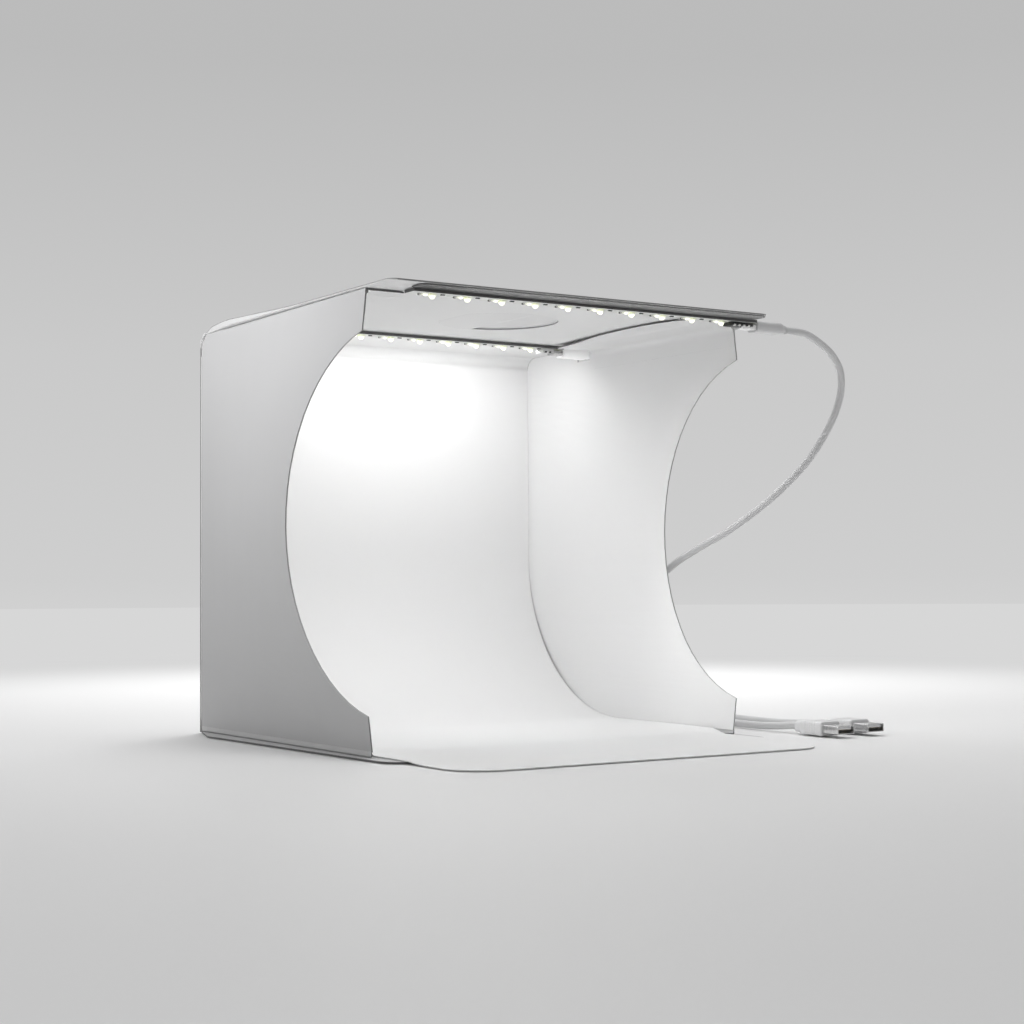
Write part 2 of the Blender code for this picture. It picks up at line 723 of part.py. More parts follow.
def make_usb_plug(name, at):
    """A USB-A plug that lies flat, its lead at +Y and its metal shell at -Y."""
    x, y = at
    neck, wide = MOULD_NECK_WIDTH / 2, MOULD_WIDTH / 2
    front = y - MOULD_NECK_LENGTH - MOULD_LENGTH
    radius = MOULD_CORNER_RADIUS
    outline = fillet([
        (x - wide, front, radius), (x + wide, front, radius),
        (x + wide, y - MOULD_NECK_LENGTH, radius), (x + neck, y - MOULD_NECK_LENGTH, 0),
        (x + neck, y, radius), (x - neck, y, radius),
        (x - neck, y - MOULD_NECK_LENGTH, 0), (x - wide, y - MOULD_NECK_LENGTH, radius),
    ])
    bm = prism(outline, SEAT, SEAT + MOULD_HEIGHT)
    piece(f"{name}_usb_overmould", bm, mould_white, back_body, ROUND, MOULD_EDGE)
    middle = SEAT + MOULD_HEIGHT / 2
    half, tall = SHELL_WIDTH / 2, SHELL_HEIGHT / 2
    end = front - SEAT
    outline = rectangle(middle - tall, x - half, middle + tall, x + half, SHELL_WALL)
    bm = prism(outline, end - SHELL_LENGTH, end, "Y")
    case = piece(f"{name}_usb_shell", bm, steel, back_body)
    outline = rectangle(middle - tall + SHELL_WALL, x - half + SHELL_WALL, middle, x + half - SHELL_WALL)
    deep = end - SHELL_LENGTH + SHELL_DEPTH
    hole = prism(outline, end - SHELL_LENGTH - OVERRUN, deep, "Y")
    combine(case, piece(f"{name}_usb_cutter", hole, steel, back_body), "DIFFERENCE")
    return Vector((x, y + SEAT, middle))


def smooth_route(points, step):
    """Points a step apart on the Catmull-Rom curve through all but a route's two ends."""
    fine = []
    for before, here, there, after in zip(points, points[1:], points[2:], points[3:]):
        parts = max(2, math.ceil((there - here).length / step) * 8)
        for k in range(parts):
            t = k / parts
            fine.append(0.5 * (
                2 * here + (there - before) * t
                + (2 * before - 5 * here + 4 * there - after) * t**2
                + (3 * here - before - 3 * there + after) * t**3
            ))
    fine.append(points[-2])
    along = [0.0]
    for here, there in zip(fine, fine[1:]):
        along.append(along[-1] + (there - here).length)
    count = max(2, round(along[-1] / step))
    spaced, k = [], 0
    for i in range(count + 1):
        at = along[-1] * i / count
        while k < len(along) - 2 and along[k + 1] < at:
            k += 1
        share = (at - along[k]) / (along[k + 1] - along[k])
        spaced.append(fine[k].lerp(fine[k + 1], share))
    return spaced


def make_lead(name, start, route, end):
    """A lead of one diameter on a smooth route, straight where it leaves each plug."""
    ahead = Vector((LEAD_STRAIGHT, 0, 0))
    behind = Vector((0, LEAD_STRAIGHT, 0))
    points = [start, start + ahead, *(Vector(p) for p in route), end + behind, end]
    line = [start, *smooth_route(points, LEAD_DIAMETER * LEAD_STEP_DIAMETERS), end]
    length = sum((there - here).length for here, there in zip(line, line[1:]))
    print(f"{name}: {length:.4f} m in {len(line)} points")
    curve = bpy.data.curves.new(name, "CURVE")
    curve.dimensions = "3D"
    curve.bevel_depth = LEAD_DIAMETER / 2
    curve.bevel_resolution = 2
    curve.use_fill_caps = True
    spline = curve.splines.new("POLY")
    spline.points.add(len(line) - 1)
    for point, place in zip(spline.points, line):
        point.co = (*(place - placed[back_body.name]), 1)
    spline.use_smooth = True
    made = bpy.data.objects.new(name, curve)
    bpy.context.collection.objects.link(made)
    curve.materials.append(lead_white)
    made.parent = back_body


SIDES = ((-1, "left"), (1, "right"))
FLAP_WIDTHS = {-1: LEFT_FLAP_WIDTH, 1: RIGHT_FLAP_WIDTH}
FLAP_BULGES = {-1: LEFT_FLAP_BULGE, 1: RIGHT_FLAP_BULGE}
ROUND = math.radians(40)
corner_shares = [1 - math.cos(math.pi / 2 * i / CORNER_STEPS) for i in range(CORNER_STEPS + 1)]
placed = {}

clear_scene()
grey_sheet = material("satin_grey_sheet", (0.62, 0.62, 0.63), 0.42)
white_sheet = material("white_sheet", (0.88, 0.88, 0.88), 0.5)
dark_film = material("dark_film", (0.16, 0.16, 0.16), 0.5)
board_white = material("white_board", (0.85, 0.86, 0.84), 0.4)
black_plastic = material("black_plastic", (0.02, 0.02, 0.02), 0.35)
steel = material("plated_steel", (0.7, 0.7, 0.7), 0.25, 1.0)
boot_grey = material("boot_grey", (0.62, 0.62, 0.62), 0.45)
mould_white = material("mould_white", (0.78, 0.78, 0.79), 0.4)
lead_white = material("lead_white", (0.72, 0.72, 0.73), 0.35)
loop_white = material("loop_pad", (0.8, 0.8, 0.8), 0.9)
hook_grey = material("hook_pad", (0.7, 0.7, 0.7), 0.7)

back_body = axis_empty("back_axis", back_axis)
lid_body = axis_empty("lid_axis", lid_axis, back_body)
hatch_body = axis_empty("hatch_axis", (hatch_crease, hatch_y, BOX_HEIGHT), lid_body)
backdrop_axis = axis_empty("backdrop_axis", (0, tongue_front, 0), back_body)
front_plug_axis = axis_empty(
    "front_plug_axis", (front_board_right, front_board_y, plug_height), lid_body
)
rear_plug_axis = axis_empty(
    "rear_plug_axis", (rear_board_right, rear_board_y, plug_height), lid_body
)

make_floor()
make_back()
make_lid()
make_backdrop()
for side, name in SIDES:
    wall_axis = axis_empty(f"{name}_wall_axis", (side * swing_x, swing_y, 0), back_body)
    flap_at = (side * flap_axis_x, wall_front, flap_axis_z)
    flap_axis = axis_empty(f"{name}_flap_axis", flap_at, wall_axis)
    bow, depth = (RIGHT_BOW, RIGHT_CUTOUT_DEPTH) if side > 0 else (LEFT_BOW, LEFT_CUTOUT_DEPTH)
    make_wall(side, name, bow, depth, wall_axis)
    make_flaps(side, name, wall_axis, flap_axis)
make_board("front", front_board_y, front_board_right, FRONT_GROUPS, FRONT_PITCH)
make_board("rear", rear_board_y, rear_board_right, REAR_GROUPS, REAR_PITCH)
front_exit = make_micro_plug("front", front_board_y, front_board_right, front_plug_axis)
rear_exit = make_micro_plug("rear", rear_board_y, rear_board_right, rear_plug_axis)
make_lead("front_lead", front_exit, FRONT_ROUTE, make_usb_plug("front", FRONT_PLUG_AT))
make_lead("rear_lead", rear_exit, REAR_ROUTE, make_usb_plug("rear", REAR_PLUG_AT))
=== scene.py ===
import math

import bpy
import numpy as np
from mathutils import Matrix, Vector


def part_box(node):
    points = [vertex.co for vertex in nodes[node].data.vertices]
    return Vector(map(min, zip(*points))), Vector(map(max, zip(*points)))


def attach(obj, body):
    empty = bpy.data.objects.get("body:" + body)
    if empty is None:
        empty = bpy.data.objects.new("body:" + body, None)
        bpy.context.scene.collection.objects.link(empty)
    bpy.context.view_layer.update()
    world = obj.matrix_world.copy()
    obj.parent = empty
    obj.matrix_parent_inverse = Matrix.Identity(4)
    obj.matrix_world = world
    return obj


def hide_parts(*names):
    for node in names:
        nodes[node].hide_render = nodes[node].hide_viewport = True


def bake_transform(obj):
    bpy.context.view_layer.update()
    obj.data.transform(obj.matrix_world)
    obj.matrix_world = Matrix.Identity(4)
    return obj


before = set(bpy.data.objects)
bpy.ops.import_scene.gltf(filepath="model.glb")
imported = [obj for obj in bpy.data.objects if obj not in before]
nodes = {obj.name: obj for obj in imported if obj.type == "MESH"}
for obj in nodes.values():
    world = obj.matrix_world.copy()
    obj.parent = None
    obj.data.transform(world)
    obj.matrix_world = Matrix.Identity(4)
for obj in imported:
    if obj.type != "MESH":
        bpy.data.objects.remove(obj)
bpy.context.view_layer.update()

view = {
    "place": (-0.5470, -0.8511, 0.0850),  # metres
    "turn": 33.12,   # degrees to the right of +Y
    "tilt": 2.19,    # degrees above the horizon
    "roll": -0.31,
    "lens": 65.14,   # mm on a 36 mm sensor
}


def makeCamera(v):
    # ahead from the turn and the tilt, then right and up rolled about it
    turn, tilt, roll = (math.radians(v[k]) for k in ("turn", "tilt", "roll"))
    ahead = Vector((math.sin(turn) * math.cos(tilt), math.cos(turn) * math.cos(tilt), math.sin(tilt)))
    level = Vector((math.cos(turn), -math.sin(turn), 0))
    upright = level.cross(ahead)
    right = level * math.cos(roll) + upright * math.sin(roll)
    up = upright * math.cos(roll) - level * math.sin(roll)
    camera = bpy.data.objects.new("camera", bpy.data.cameras.new("camera"))
    camera.data.lens = v["lens"]
    camera.data.clip_start = 0.01
    camera.data.clip_end = 50
    rows = Matrix((right, up, -ahead)).transposed().to_4x4()
    camera.matrix_world = Matrix.Translation(v["place"]) @ rows
    bpy.context.scene.collection.objects.link(camera)
    bpy.context.scene.camera = camera


makeCamera(view)


class Value:
    # one output of a material's nodes; sums, products and comparisons of it add Math nodes
    def __init__(self, paint, socket):
        self.paint, self.socket = paint, socket

    def maths(self, operation, first, second):
        return self.paint.node("ShaderNodeMath", {"operation": operation}, {0: first, 1: second})

    def __add__(self, other):
        return self.maths("ADD", self, other)

    def __sub__(self, other):
        return self.maths("SUBTRACT", self, other)

    def __rsub__(self, other):
        return self.maths("SUBTRACT", other, self)

    def __mul__(self, other):
        return self.maths("MULTIPLY", self, other)

    def __truediv__(self, other):
        return self.maths("DIVIDE", self, other)

    def __mod__(self, other):
        return self.maths("FLOORED_MODULO", self, other)

    def __gt__(self, other):
        return self.maths("GREATER_THAN", self, other)

    def __lt__(self, other):
        return self.maths("LESS_THAN", self, other)

    def __abs__(self):
        return self.maths("ABSOLUTE", self, 0.0)

    def atMost(self, most):
        return self.maths("MINIMUM", self, most)

    __radd__ = __add__
    __rmul__ = __mul__


class Paint:
    # a material: its shader's fixed numbers come first, and feed() links what varies
    def __init__(self, name, colour, roughness, metallic=0.0, **fixed):
        self.material = bpy.data.materials.new(name)
        self.material.use_nodes = True
        self.tree = self.material.node_tree
        self.shader = self.tree.nodes["Principled BSDF"]
        self.feed("Base Color", (*colour, 1))
        self.feed("Roughness", roughness)
        self.feed("Metallic", metallic)
        for key, value in fixed.items():
            self.feed(key.replace("_", " "), value)

    def join(self, value, socket):
        if isinstance(value, Value):
            self.tree.links.new(value.socket, socket)
        else:
            socket.default_value = value

    def feed(self, name, value):
        self.join(value, self.shader.inputs[name])

    def node(self, kind, settings=None, sockets=None, output=0):
        made = self.tree.nodes.new(kind)
        for key, value in (settings or {}).items():
            if key == "stops":
                ramp = made.color_ramp
                for spare in list(ramp.elements)[len(value):]:
                    ramp.elements.remove(spare)
                for i, (place, colour) in enumerate(value):
                    stop = ramp.elements[i] if i < len(ramp.elements) else ramp.elements.new(place)
                    stop.position, stop.color = place, (*colour, 1)
            else:
                setattr(made, key, value)
        for key, value in (sockets or {}).items():
            self.join(value, made.inputs[key])
        return Value(self, made.outputs[output])

    def place(self, output="Object"):
        # the piece's own coordinates, or its own normal
        return self.node("ShaderNodeTexCoord", output=output)

    def axes(self, output="Object"):
        # the same, split into x, y and z
        split = self.node("ShaderNodeSeparateXYZ", sockets={0: self.place(output)})
        return [Value(self, o) for o in split.socket.node.outputs]

    def length(self, vector):
        return self.node("ShaderNodeVectorMath", {"operation": "LENGTH"}, {0: vector}, "Value")

    def noise(self, place, scale, detail=3.0, roughness=0.55, stretch=None):
        if stretch:
            place = self.node("ShaderNodeMapping", sockets={0: place, "Scale": stretch})
        sockets = {"Vector": place, "Scale": scale, "Detail": detail, "Roughness": roughness}
        return self.node("ShaderNodeTexNoise", sockets=sockets, output="Fac")

    def mix(self, mask, one, other):
        # two colours: one where the mask is 0, the other where it is 1
        one, other = ((*c, 1) if isinstance(c, tuple) else c for c in (one, other))
        return self.node("ShaderNodeMix", {"data_type": "RGBA"}, {0: mask, 6: one, 7: other}, 2)

    def fade(self, value, low, high, start=0.0, end=1.0):
        # start where the value is low, end where it is high, smooth between them
        sockets = {0: value, 1: low, 2: high, 3: start, 4: end}
        return self.node("ShaderNodeMapRange", {"interpolation_type": "SMOOTHSTEP"}, sockets)

    def bump(self, height, strength, distance):
        sockets = {"Height": height, "Strength": strength, "Distance": distance}
        self.feed("Normal", self.node("ShaderNodeBump", sockets=sockets))


sheetLook = {
    "outside": (0.52, 0.52, 0.525),   # satin grey
    "inside": (0.83, 0.83, 0.83),     # matt white
    "edge": (0.12, 0.12, 0.122),      # the darker core that shows at every cut of the sheet
    "band": 0.4,                      # a face is a cut where its normal leans less than this
    "grain": 900,                     # per metre
    "grainDepth": 0.00003,
    "shine": 0.42,
}


def shaded(colour, share):
    return tuple(c * share for c in colour)


def cutEdge(facing, band=sheetLook["band"]):
    # 1 where a face looks along neither side of its sheet, and 0 on the two sides
    return (facing > -band) * (facing < band)


def sheetPaint(name, outward, edge=sheetLook["edge"], look=sheetLook):
    # outward says which way the sheet's outer face looks, as shares of x, y and z: the
    # normal's part along it is near 1 outside, near -1 inside and near 0 at a cut edge
    paint = Paint(name, look["outside"], look["shine"])
    place = paint.place()
    facing = sum(n * share for n, share in zip(paint.axes("Normal"), outward) if share)
    cloud = paint.noise(place, 14, 3.0)
    streak = paint.noise(place, 60, 4.0, 0.6, (1.0, 1.0, 0.06))
    worn = paint.mix(cloud, look["outside"], shaded(look["outside"], 0.94))
    lining = paint.mix(cloud, look["inside"], shaded(look["inside"], 0.985))
    colour = paint.mix(facing < -look["band"], worn, lining)
    paint.feed("Base Color", paint.mix(cutEdge(facing), colour, edge))
    rough = look["shine"] + (streak - 0.5) * 0.10 + (cloud - 0.5) * 0.08
    paint.feed("Roughness", rough + (facing < 0.0) * 0.22)
    paint.bump(paint.noise(place, look["grain"], 2.0), 0.35, look["grainDepth"])
    return paint.material


def plainPaint(name, colour, rough, cloud=(9, 2.0), shade=0.975, grain=(1400, 2.0),
               dent=(0.3, 0.00002), rim=None, glow=0.0):
    # one plain colour: a faint cloud darkens it as far as its shade and moves its roughness
    # from the first to the second value of rough; a fine grain; rim is the cut edge's colour
    paint = Paint(name, colour, rough[0], Emission_Strength=glow)
    place = paint.place()
    patches = paint.noise(place, *cloud)
    tone = paint.mix(patches, colour, shaded(colour, shade))
    if rim:
        tone = paint.mix(cutEdge(paint.axes("Normal")[2]), tone, rim)
    paint.feed("Base Color", tone)
    paint.feed("Roughness", rough[0] + patches * (rough[1] - rough[0]))
    paint.bump(paint.noise(place, *grain), *dent)
    return paint.material


def metalPaint(name, colour, roughness, lines=(1.0, 1.0, 0.05)):
    # plated metal: drawing lines along one axis in its roughness, and a faint stain
    paint = Paint(name, colour, roughness, 1.0)
    place = paint.place()
    drawn = paint.noise(place, 1800, 3.0, 0.6, lines)
    paint.feed("Base Color", paint.mix(paint.noise(place, 260, 2.0), colour, shaded(colour, 0.82)))
    paint.feed("Roughness", roughness + (drawn - 0.5) * 0.16)
    paint.bump(drawn, 0.12, 0.00001)
    return paint.material


def gripPaint(name, colour, size, depth):
    # hook or loop pads: rounded tufts in rows, lighter at their tips, with painted shade in the hollows
    # between them
    paint = Paint(name, colour, 0.85)
    place = paint.place()
    sockets = {"Vector": place, "Scale": 1 / size}
    tufts = paint.node("ShaderNodeTexVoronoi", {"feature": "F1"}, sockets, "Distance")
    paint.feed("Base Color", paint.mix(paint.fade(tufts, 0.1, 0.7), colour, shaded(colour, 0.62)))
    paint.feed("Roughness", 0.80 + paint.noise(place, 500, 2.0) * 0.15)
    paint.bump(1 - tufts, 0.9, depth)
    return paint.material


def dress(material, *names):
    # a CAD node that stays takes the material in each of its slots
    for name in names:
        if not len(nodes[name].material_slots):
            nodes[name].data.materials.append(None)
        for slot in nodes[name].material_slots:
            slot.material = material


def named(*words):
    return [n for n in nodes if any(word in n for word in words)]


whiteSheet = plainPaint("whiteSheet", (0.80, 0.80, 0.80), (0.46, 0.54), rim=sheetLook["edge"])
whiteLining = plainPaint("whiteLining", sheetLook["inside"], (0.46, 0.54))
sheetEdge = plainPaint("sheetEdge", sheetLook["edge"], (0.51, 0.59))
footSheet = plainPaint("footSheet", (0.61, 0.61, 0.61), (0.38, 0.46))
tabSheet = plainPaint("tabSheet", (0.80, 0.80, 0.80), (0.46, 0.54))
steel = metalPaint("platedSteel", (0.72, 0.72, 0.72), 0.26)
dress(sheetPaint("leftWallSheet", (-1, 0, 0), (0.26, 0.26, 0.26)), "left_side_wall")
dress(sheetPaint("rightWallSheet", (1, 0, 0), (0.36, 0.36, 0.36)), "right_side_wall")
dress(sheetPaint("floorSheet", (0, 0, 1)), "floor_panel")
dress(tabSheet, *named("hinge_tab"))
dress(gripPaint("hookPad", (0.62, 0.62, 0.62), 0.0009, 0.00025), *named("hook_pad", "hook_strip"))
dress(gripPaint("loopPad", (0.76, 0.76, 0.76), 0.0005, 0.00018), *named("loop_pad", "loop_strip"))
dress(steel, *named("plug_shell"))
print("sheets, pads and plug shells painted")


def smooth(value):
    # three squares less two cubes of a value held between 0 and 1
    value = np.clip(value, 0, 1)
    return value * value * (3 - 2 * value)


def quarterTurn(count):
    return np.linspace(0, math.pi / 2, count)


def circle(turn):
    # points at a distance of 1 from the middle, from the right-hand side anticlockwise
    return np.stack([np.cos(turn), np.sin(turn)], -1)


def meshPiece(name, part, materials, sharp=45):
    # part is points and faces; an edge that turns by more than sharp degrees stays hard
    points, faces = part
    mesh = bpy.data.meshes.new(name)
    mesh.from_pydata(np.reshape(points, (-1, 3)).tolist(), [], faces)
    for material in materials:
        mesh.materials.append(material)
    if sharp:
        mesh.shade_smooth()
        mesh.set_sharp_from_angle(angle=math.radians(sharp))
    made = bpy.data.objects.new(name, mesh)
    bpy.context.scene.collection.objects.link(made)
    return made


def mount(piece, body, replaced=None):
    # rides on a body, and stands for a CAD node, which it hides
    if replaced:
        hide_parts(replaced)
    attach(piece, body)


def joined(parts):
    # several points and faces as one, each face's numbers moved on by the points before it
    points, faces, count = [], [], 0
    for p, f in parts:
        p = np.reshape(p, (-1, 3))
        points.append(p)
        faces += [[v + count for v in face] for face in f]
        count += len(p)
    return np.vstack(points), faces


def repeated(part, offsets):
    # one copy of a part at each offset
    points = np.reshape(part[0], (-1, 3))
    return joined([(points + offset, part[1]) for offset in np.asarray(offsets, float)])


def ringFaces(rings, sides, capped=True):
    # quads between rings of points, and a flat face over each end
    i, j = np.meshgrid(np.arange(rings - 1), np.arange(sides), indexing="ij")
    k = (j + 1) % sides
    quads = np.stack([i * sides + j, i * sides + k, (i + 1) * sides + k, (i + 1) * sides + j], -1)
    faces = quads.reshape(-1, 4).tolist()
    if capped:
        faces += [list(range(sides))[::-1], list(range((rings - 1) * sides, rings * sides))]
    return faces


def roundedRectangle(wide, tall, corner, steps=4):
    # half sizes; four quarter circles, anticlockwise from the right-hand side
    turn = math.pi / 2 * np.arange(4)[:, None] + quarterTurn(steps)
    centre = np.array([(1, 1), (-1, 1), (-1, -1), (1, -1)], float) * (wide - corner, tall - corner)
    return (centre[:, None] + corner * circle(turn)).reshape(-1, 2)


def carried(stations, axis, centre, steps=4):
    # a rounded rectangle (half width, half height, corner) at each place along an axis
    rings = []
    for at, wide, tall, corner in stations:
        flat = roundedRectangle(wide, tall, corner, steps) + centre
        rings.append(np.insert(flat[::-1] if axis == 1 else flat, axis, at, axis=1))
    return np.stack(rings), ringFaces(len(rings), 4 * steps)


def block(low, high, corner, bevel, axis=2, steps=3):
    # a box with rounded corners, drawn in by a quarter circle at both ends of an axis
    low, high = np.array(low, float), np.array(high, float)
    others = [k for k in range(3) if k != axis]
    wide, tall = (high - low)[others] / 2
    turn = quarterTurn(3)
    inset = bevel * (1 - np.sin(turn))
    reach = bevel * (1 - np.cos(turn))
    at = np.concatenate([low[axis] + reach, (high[axis] - reach)[::-1]])
    inset = np.concatenate([inset, inset[::-1]])
    stations = [(a, wide - i, tall - i, corner - i * 0.5) for a, i in zip(at, inset)]
    return carried(stations, axis, ((low + high) / 2)[others], steps)


def turned(profile, centre, axis=2, sides=16):
    # a profile of (place along the axis, radius) spun round it
    turn = np.linspace(0, 2 * math.pi, sides, endpoint=False)
    rings = []
    for at, radius in profile:
        flat = circle(turn) * radius + centre
        rings.append(np.insert(flat[::-1] if axis == 1 else flat, axis, at, axis=1))
    return np.stack(rings), ringFaces(len(rings), sides)


def gridFaces(rows, columns):
    # one quad between each point of a grid and its three neighbours
    i, j = np.meshgrid(np.arange(rows - 1), np.arange(columns - 1), indexing="ij")
    here, beyond = i * columns + j, (i + 1) * columns + j
    return np.stack([here, here + 1, beyond + 1, beyond], -1).reshape(-1, 4)


def stretches(rows, *parts):
    # one grid from a profile's stretches, each a grid or a single row for all the rows
    return np.concatenate([np.broadcast_to(p, (rows, p.shape[1])) for p in parts], 1)


def spread(share, outer, inner):
    # places from -1 to 1, closer together beyond a share of the way out to each end
    out = np.linspace(share, 1, outer)[1:]
    return np.concatenate([-out[::-1], np.linspace(-share, share, inner), out])


def closedSheet(under, over):
    # two grids of points of one size, joined round their four rims: quads on the upper grid,
    # the same quads turned over on the lower one, and a strip between the two rims
    rows, columns = under.shape[:2]
    count = rows * columns
    top = gridFaces(rows, columns)
    index = np.arange(count).reshape(rows, columns)
    rim = np.concatenate([index[0, :-1], index[:-1, -1], index[-1, :0:-1], index[:0:-1, 0]])
    following = np.roll(rim, -1)
    side = np.stack([rim, following, following + count, rim + count], -1)
    faces = np.vstack([top + count, top[:, ::-1], side])
    return np.concatenate([under.reshape(-1, 3), over.reshape(-1, 3)]), faces.tolist()


def sheetPiece(name, under, over, face, edge):
    # a closed sheet whose rim has a material of its own
    points, faces = closedSheet(under, over)
    made = meshPiece(name, (points, faces), [face, edge])
    which = np.zeros(len(faces), np.int32)
    which[-2 * (under.shape[0] + under.shape[1] - 2):] = 1
    made.data.polygons.foreach_set("material_index", which)
    return made


panelLook = {
    "corner": 0.0050,     # radius of the lid's two front corners
    "halfWidth": 0.1134,  # of the back panel, and of the lid's rear edge
    "taper": 0.045,       # length over which the lid narrows to it
    "spacing": 0.004,     # from a corner or the middle of an edge to its next point
    "rings": (1, 0.98, 0.95, 0.91, 0.86, 0.80, 0.70, 0.55, 0.30, 0),   # outline to cut-out
    "hatchMiddle": (0.004, 0.0059),
    "hatchRadius": 0.033,
    "crease": -0.0257,
    "bend": 0.008,
    "thick": 0.0008,
    "raised": 0.0026,     # how far the rear corners stand up
    "raisedFrom": 0.098,  # from the middle outward
    "raisedOver": 0.018,
    "raisedBy": 0.115,    # from the middle to the rear
    "fold": 0.1352,       # between the lid and the back panel
    "foldOver": 0.010,
    "line": 0.0004,       # height of the dark line along the top of the lid's hem
    "lidEdge": (0.26, 0.26, 0.26),
    # the back's rim round its bend is this pale: a painted highlight on the bend
    "bendHighlight": (0.60, 0.60, 0.60),
}


def cornerRise(x, y, look=panelLook):
    # smooth steps multiplied: one outward, one from the lid's middle to its rear, and one
    # back down to the fold at its rear edge
    outward = smooth((np.abs(x) - look["raisedFrom"]) / look["raisedOver"])
    rearward = smooth(y / look["raisedBy"]) * smooth((look["fold"] - y) / look["foldOver"])
    return look["raised"] * outward * rearward


def makeLid(look):
    # rings from the lid's outline in to the round cut-out at equal angles round its middle,
    # along the underside, and back out along the top
    low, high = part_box("top_panel")
    middle, wide, step = np.array(look["hatchMiddle"]), look["halfWidth"], look["spacing"]
    turn = np.linspace(-math.pi / 2, 0, 9)
    centre = np.array([high.x - look["corner"], low.y + look["corner"]])
    corner = centre + look["corner"] * circle(turn)
    y = np.linspace(low.y + look["corner"], high.y, 70)[1:]
    narrowed = smooth((y - high.y + look["taper"]) / look["taper"])
    side = np.column_stack([high.x - (high.x - wide) * narrowed, y])
    x = np.linspace(step, high.x - look["corner"] - step, 28)
    front = np.column_stack([x, 0 * x + low.y])
    x = np.linspace(wide - step, 0, 28)
    half = np.vstack([(0, low.y), front, corner, side, np.column_stack([x, 0 * x + high.y])])
    outline = np.vstack([half, (half * (-1, 1))[-2:0:-1]])
    angle = np.arctan2(*(outline - middle).T[::-1])
    reach = math.acos((look["crease"] - middle[0]) / look["hatchRadius"])
    for place in (-reach, reach):
        order = np.argsort(angle)
        cut = [np.interp(place, angle[order], outline[order][:, k]) for k in (0, 1)]
        outline = np.vstack([outline, cut])
        angle = np.append(angle, place)
    order = np.argsort(angle)
    outline, angle = outline[order], angle[order]
    straight = (look["crease"] - middle[0]) / np.minimum(np.cos(angle), -0.1)
    radius = np.minimum(straight, look["hatchRadius"])
    radius = np.where(np.abs(angle) > reach, radius, look["hatchRadius"])
    hole = middle + radius[:, None] * circle(angle)
    rings = hole + (outline - hole) * np.array(look["rings"])[:, None, None]
    rise = cornerRise(rings[..., 0], rings[..., 1])
    lower = np.concatenate([rings, low.z + 0 * rings[..., :1]], -1)
    upper = np.concatenate([rings, (high.z + rise)[..., None]], -1)[::-1]
    both = np.concatenate([lower, upper, upper[-1:] - (0, 0, look["line"])])
    count, sides = both.shape[:2]
    i, j = np.meshgrid(np.arange(count), np.arange(sides), indexing="ij")
    k, n = (j + 1) % sides, (i + 1) % count
    quads = np.stack([n * sides + j, n * sides + k, i * sides + k, i * sides + j], -1)
    paint = sheetPaint("lidSheet", (0, 0, 1), look["lidEdge"])
    piece = meshPiece("lidPanel", (both, quads.reshape(-1, 4).tolist()), [paint, footSheet], 35)
    # the hem along the lid's two sides takes the paler foot sheet: a painted highlight along its side edge
    hem = np.zeros((count, sides), np.int32)
    beside = np.abs(outline[:, 0]) > wide - 0.0001
    hem[-1] = beside & np.roll(beside, -1)
    piece.data.polygons.foreach_set("material_index", hem.ravel())
    mount(piece, "lid", "top_panel")


def makeBack(look):
    # straight up, then a quarter circle forward to the lid's rear edge
    low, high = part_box("back_panel")
    bend = look["bend"]
    straight = np.linspace(low.z, high.z - bend, 24)[:-1]
    turn = np.concatenate([0 * straight, quarterTurn(14)])[:, None]
    z = np.concatenate([straight, np.full(14, high.z - bend)])[:, None] + bend * np.sin(turn)
    x = -look["halfWidth"] * spread(0.84, 14, 13) + 0 * z
    square = np.stack([0 * x, np.cos(turn) + 0 * x, np.sin(turn) + 0 * x], -1)
    outer = np.stack([x, high.y - bend + bend * square[..., 1], z + 0 * x], -1)
    rim = Paint("backRim", sheetLook["edge"], 0.5)
    # painted highlight: the rim turns pale where it runs round the bend
    top = rim.fade(rim.axes()[2], high.z - bend - 0.001, high.z - bend + 0.001)
    rim.feed("Base Color", rim.mix(top, sheetLook["edge"], look["bendHighlight"]))
    paint, inner = sheetPaint("backSheet", (0, 0.8, 0.8)), outer - look["thick"] * square
    piece = sheetPiece("backPanelSheet", inner, outer, paint, rim.material)
    mount(piece, "back", "back_panel")


makeLid(panelLook)
makeBack(panelLook)

# a dark film under the lid's front edge that stands in for shade: its colours are painted shade on the
# lid's underside in front of the front board
shadeFilmLook = {
    "pale": (0.30, 0.30, 0.30),
    "dark": (0.13, 0.13, 0.13),
    "darkest": (0.035, 0.035, 0.035),
    "longer": (0.006, 0.0008),    # past its solid's left end and its right end
    "corner": 0.0040,
    "bevel": 0.0001,
    "darkEnd": 0.085,             # length over which the left end fades in
    "paleFrom": (0.004, 0.030),   # from the solid's left end, where the front edge turns pale
}


def shadeFilmPaint(name, low, high, look):
    # a dark film whose colour is painted shade: palest along the lid's front edge, and darkest beside the
    # board and at its left end, where the lid's underside lies in shade
    paint = Paint(name, look["pale"], 0.48)
    place, (x, y, z) = paint.place(), paint.axes()
    back = paint.fade(y, low.y + 0.001, high.y - 0.001)
    right = paint.fade(x, low.x, low.x + look["darkEnd"])
    brush = paint.noise(place, 420, 3.0, 0.6, (0.03, 1.0, 1.0))
    start = paint.fade(x, *(low.x + far for far in look["paleFrom"]))
    brushed = paint.mix(brush, look["pale"], shaded(look["pale"], 0.93))
    pale = paint.mix(start, look["dark"], brushed)
    deep = paint.mix(right, look["darkest"], look["dark"])
    paint.feed("Base Color", paint.mix(back, pale, deep))
    paint.feed("Roughness", 0.42 + brush * 0.14)
    paint.bump(paint.noise(place, 1400, 2.0), 0.15, 0.00001)
    return paint.material


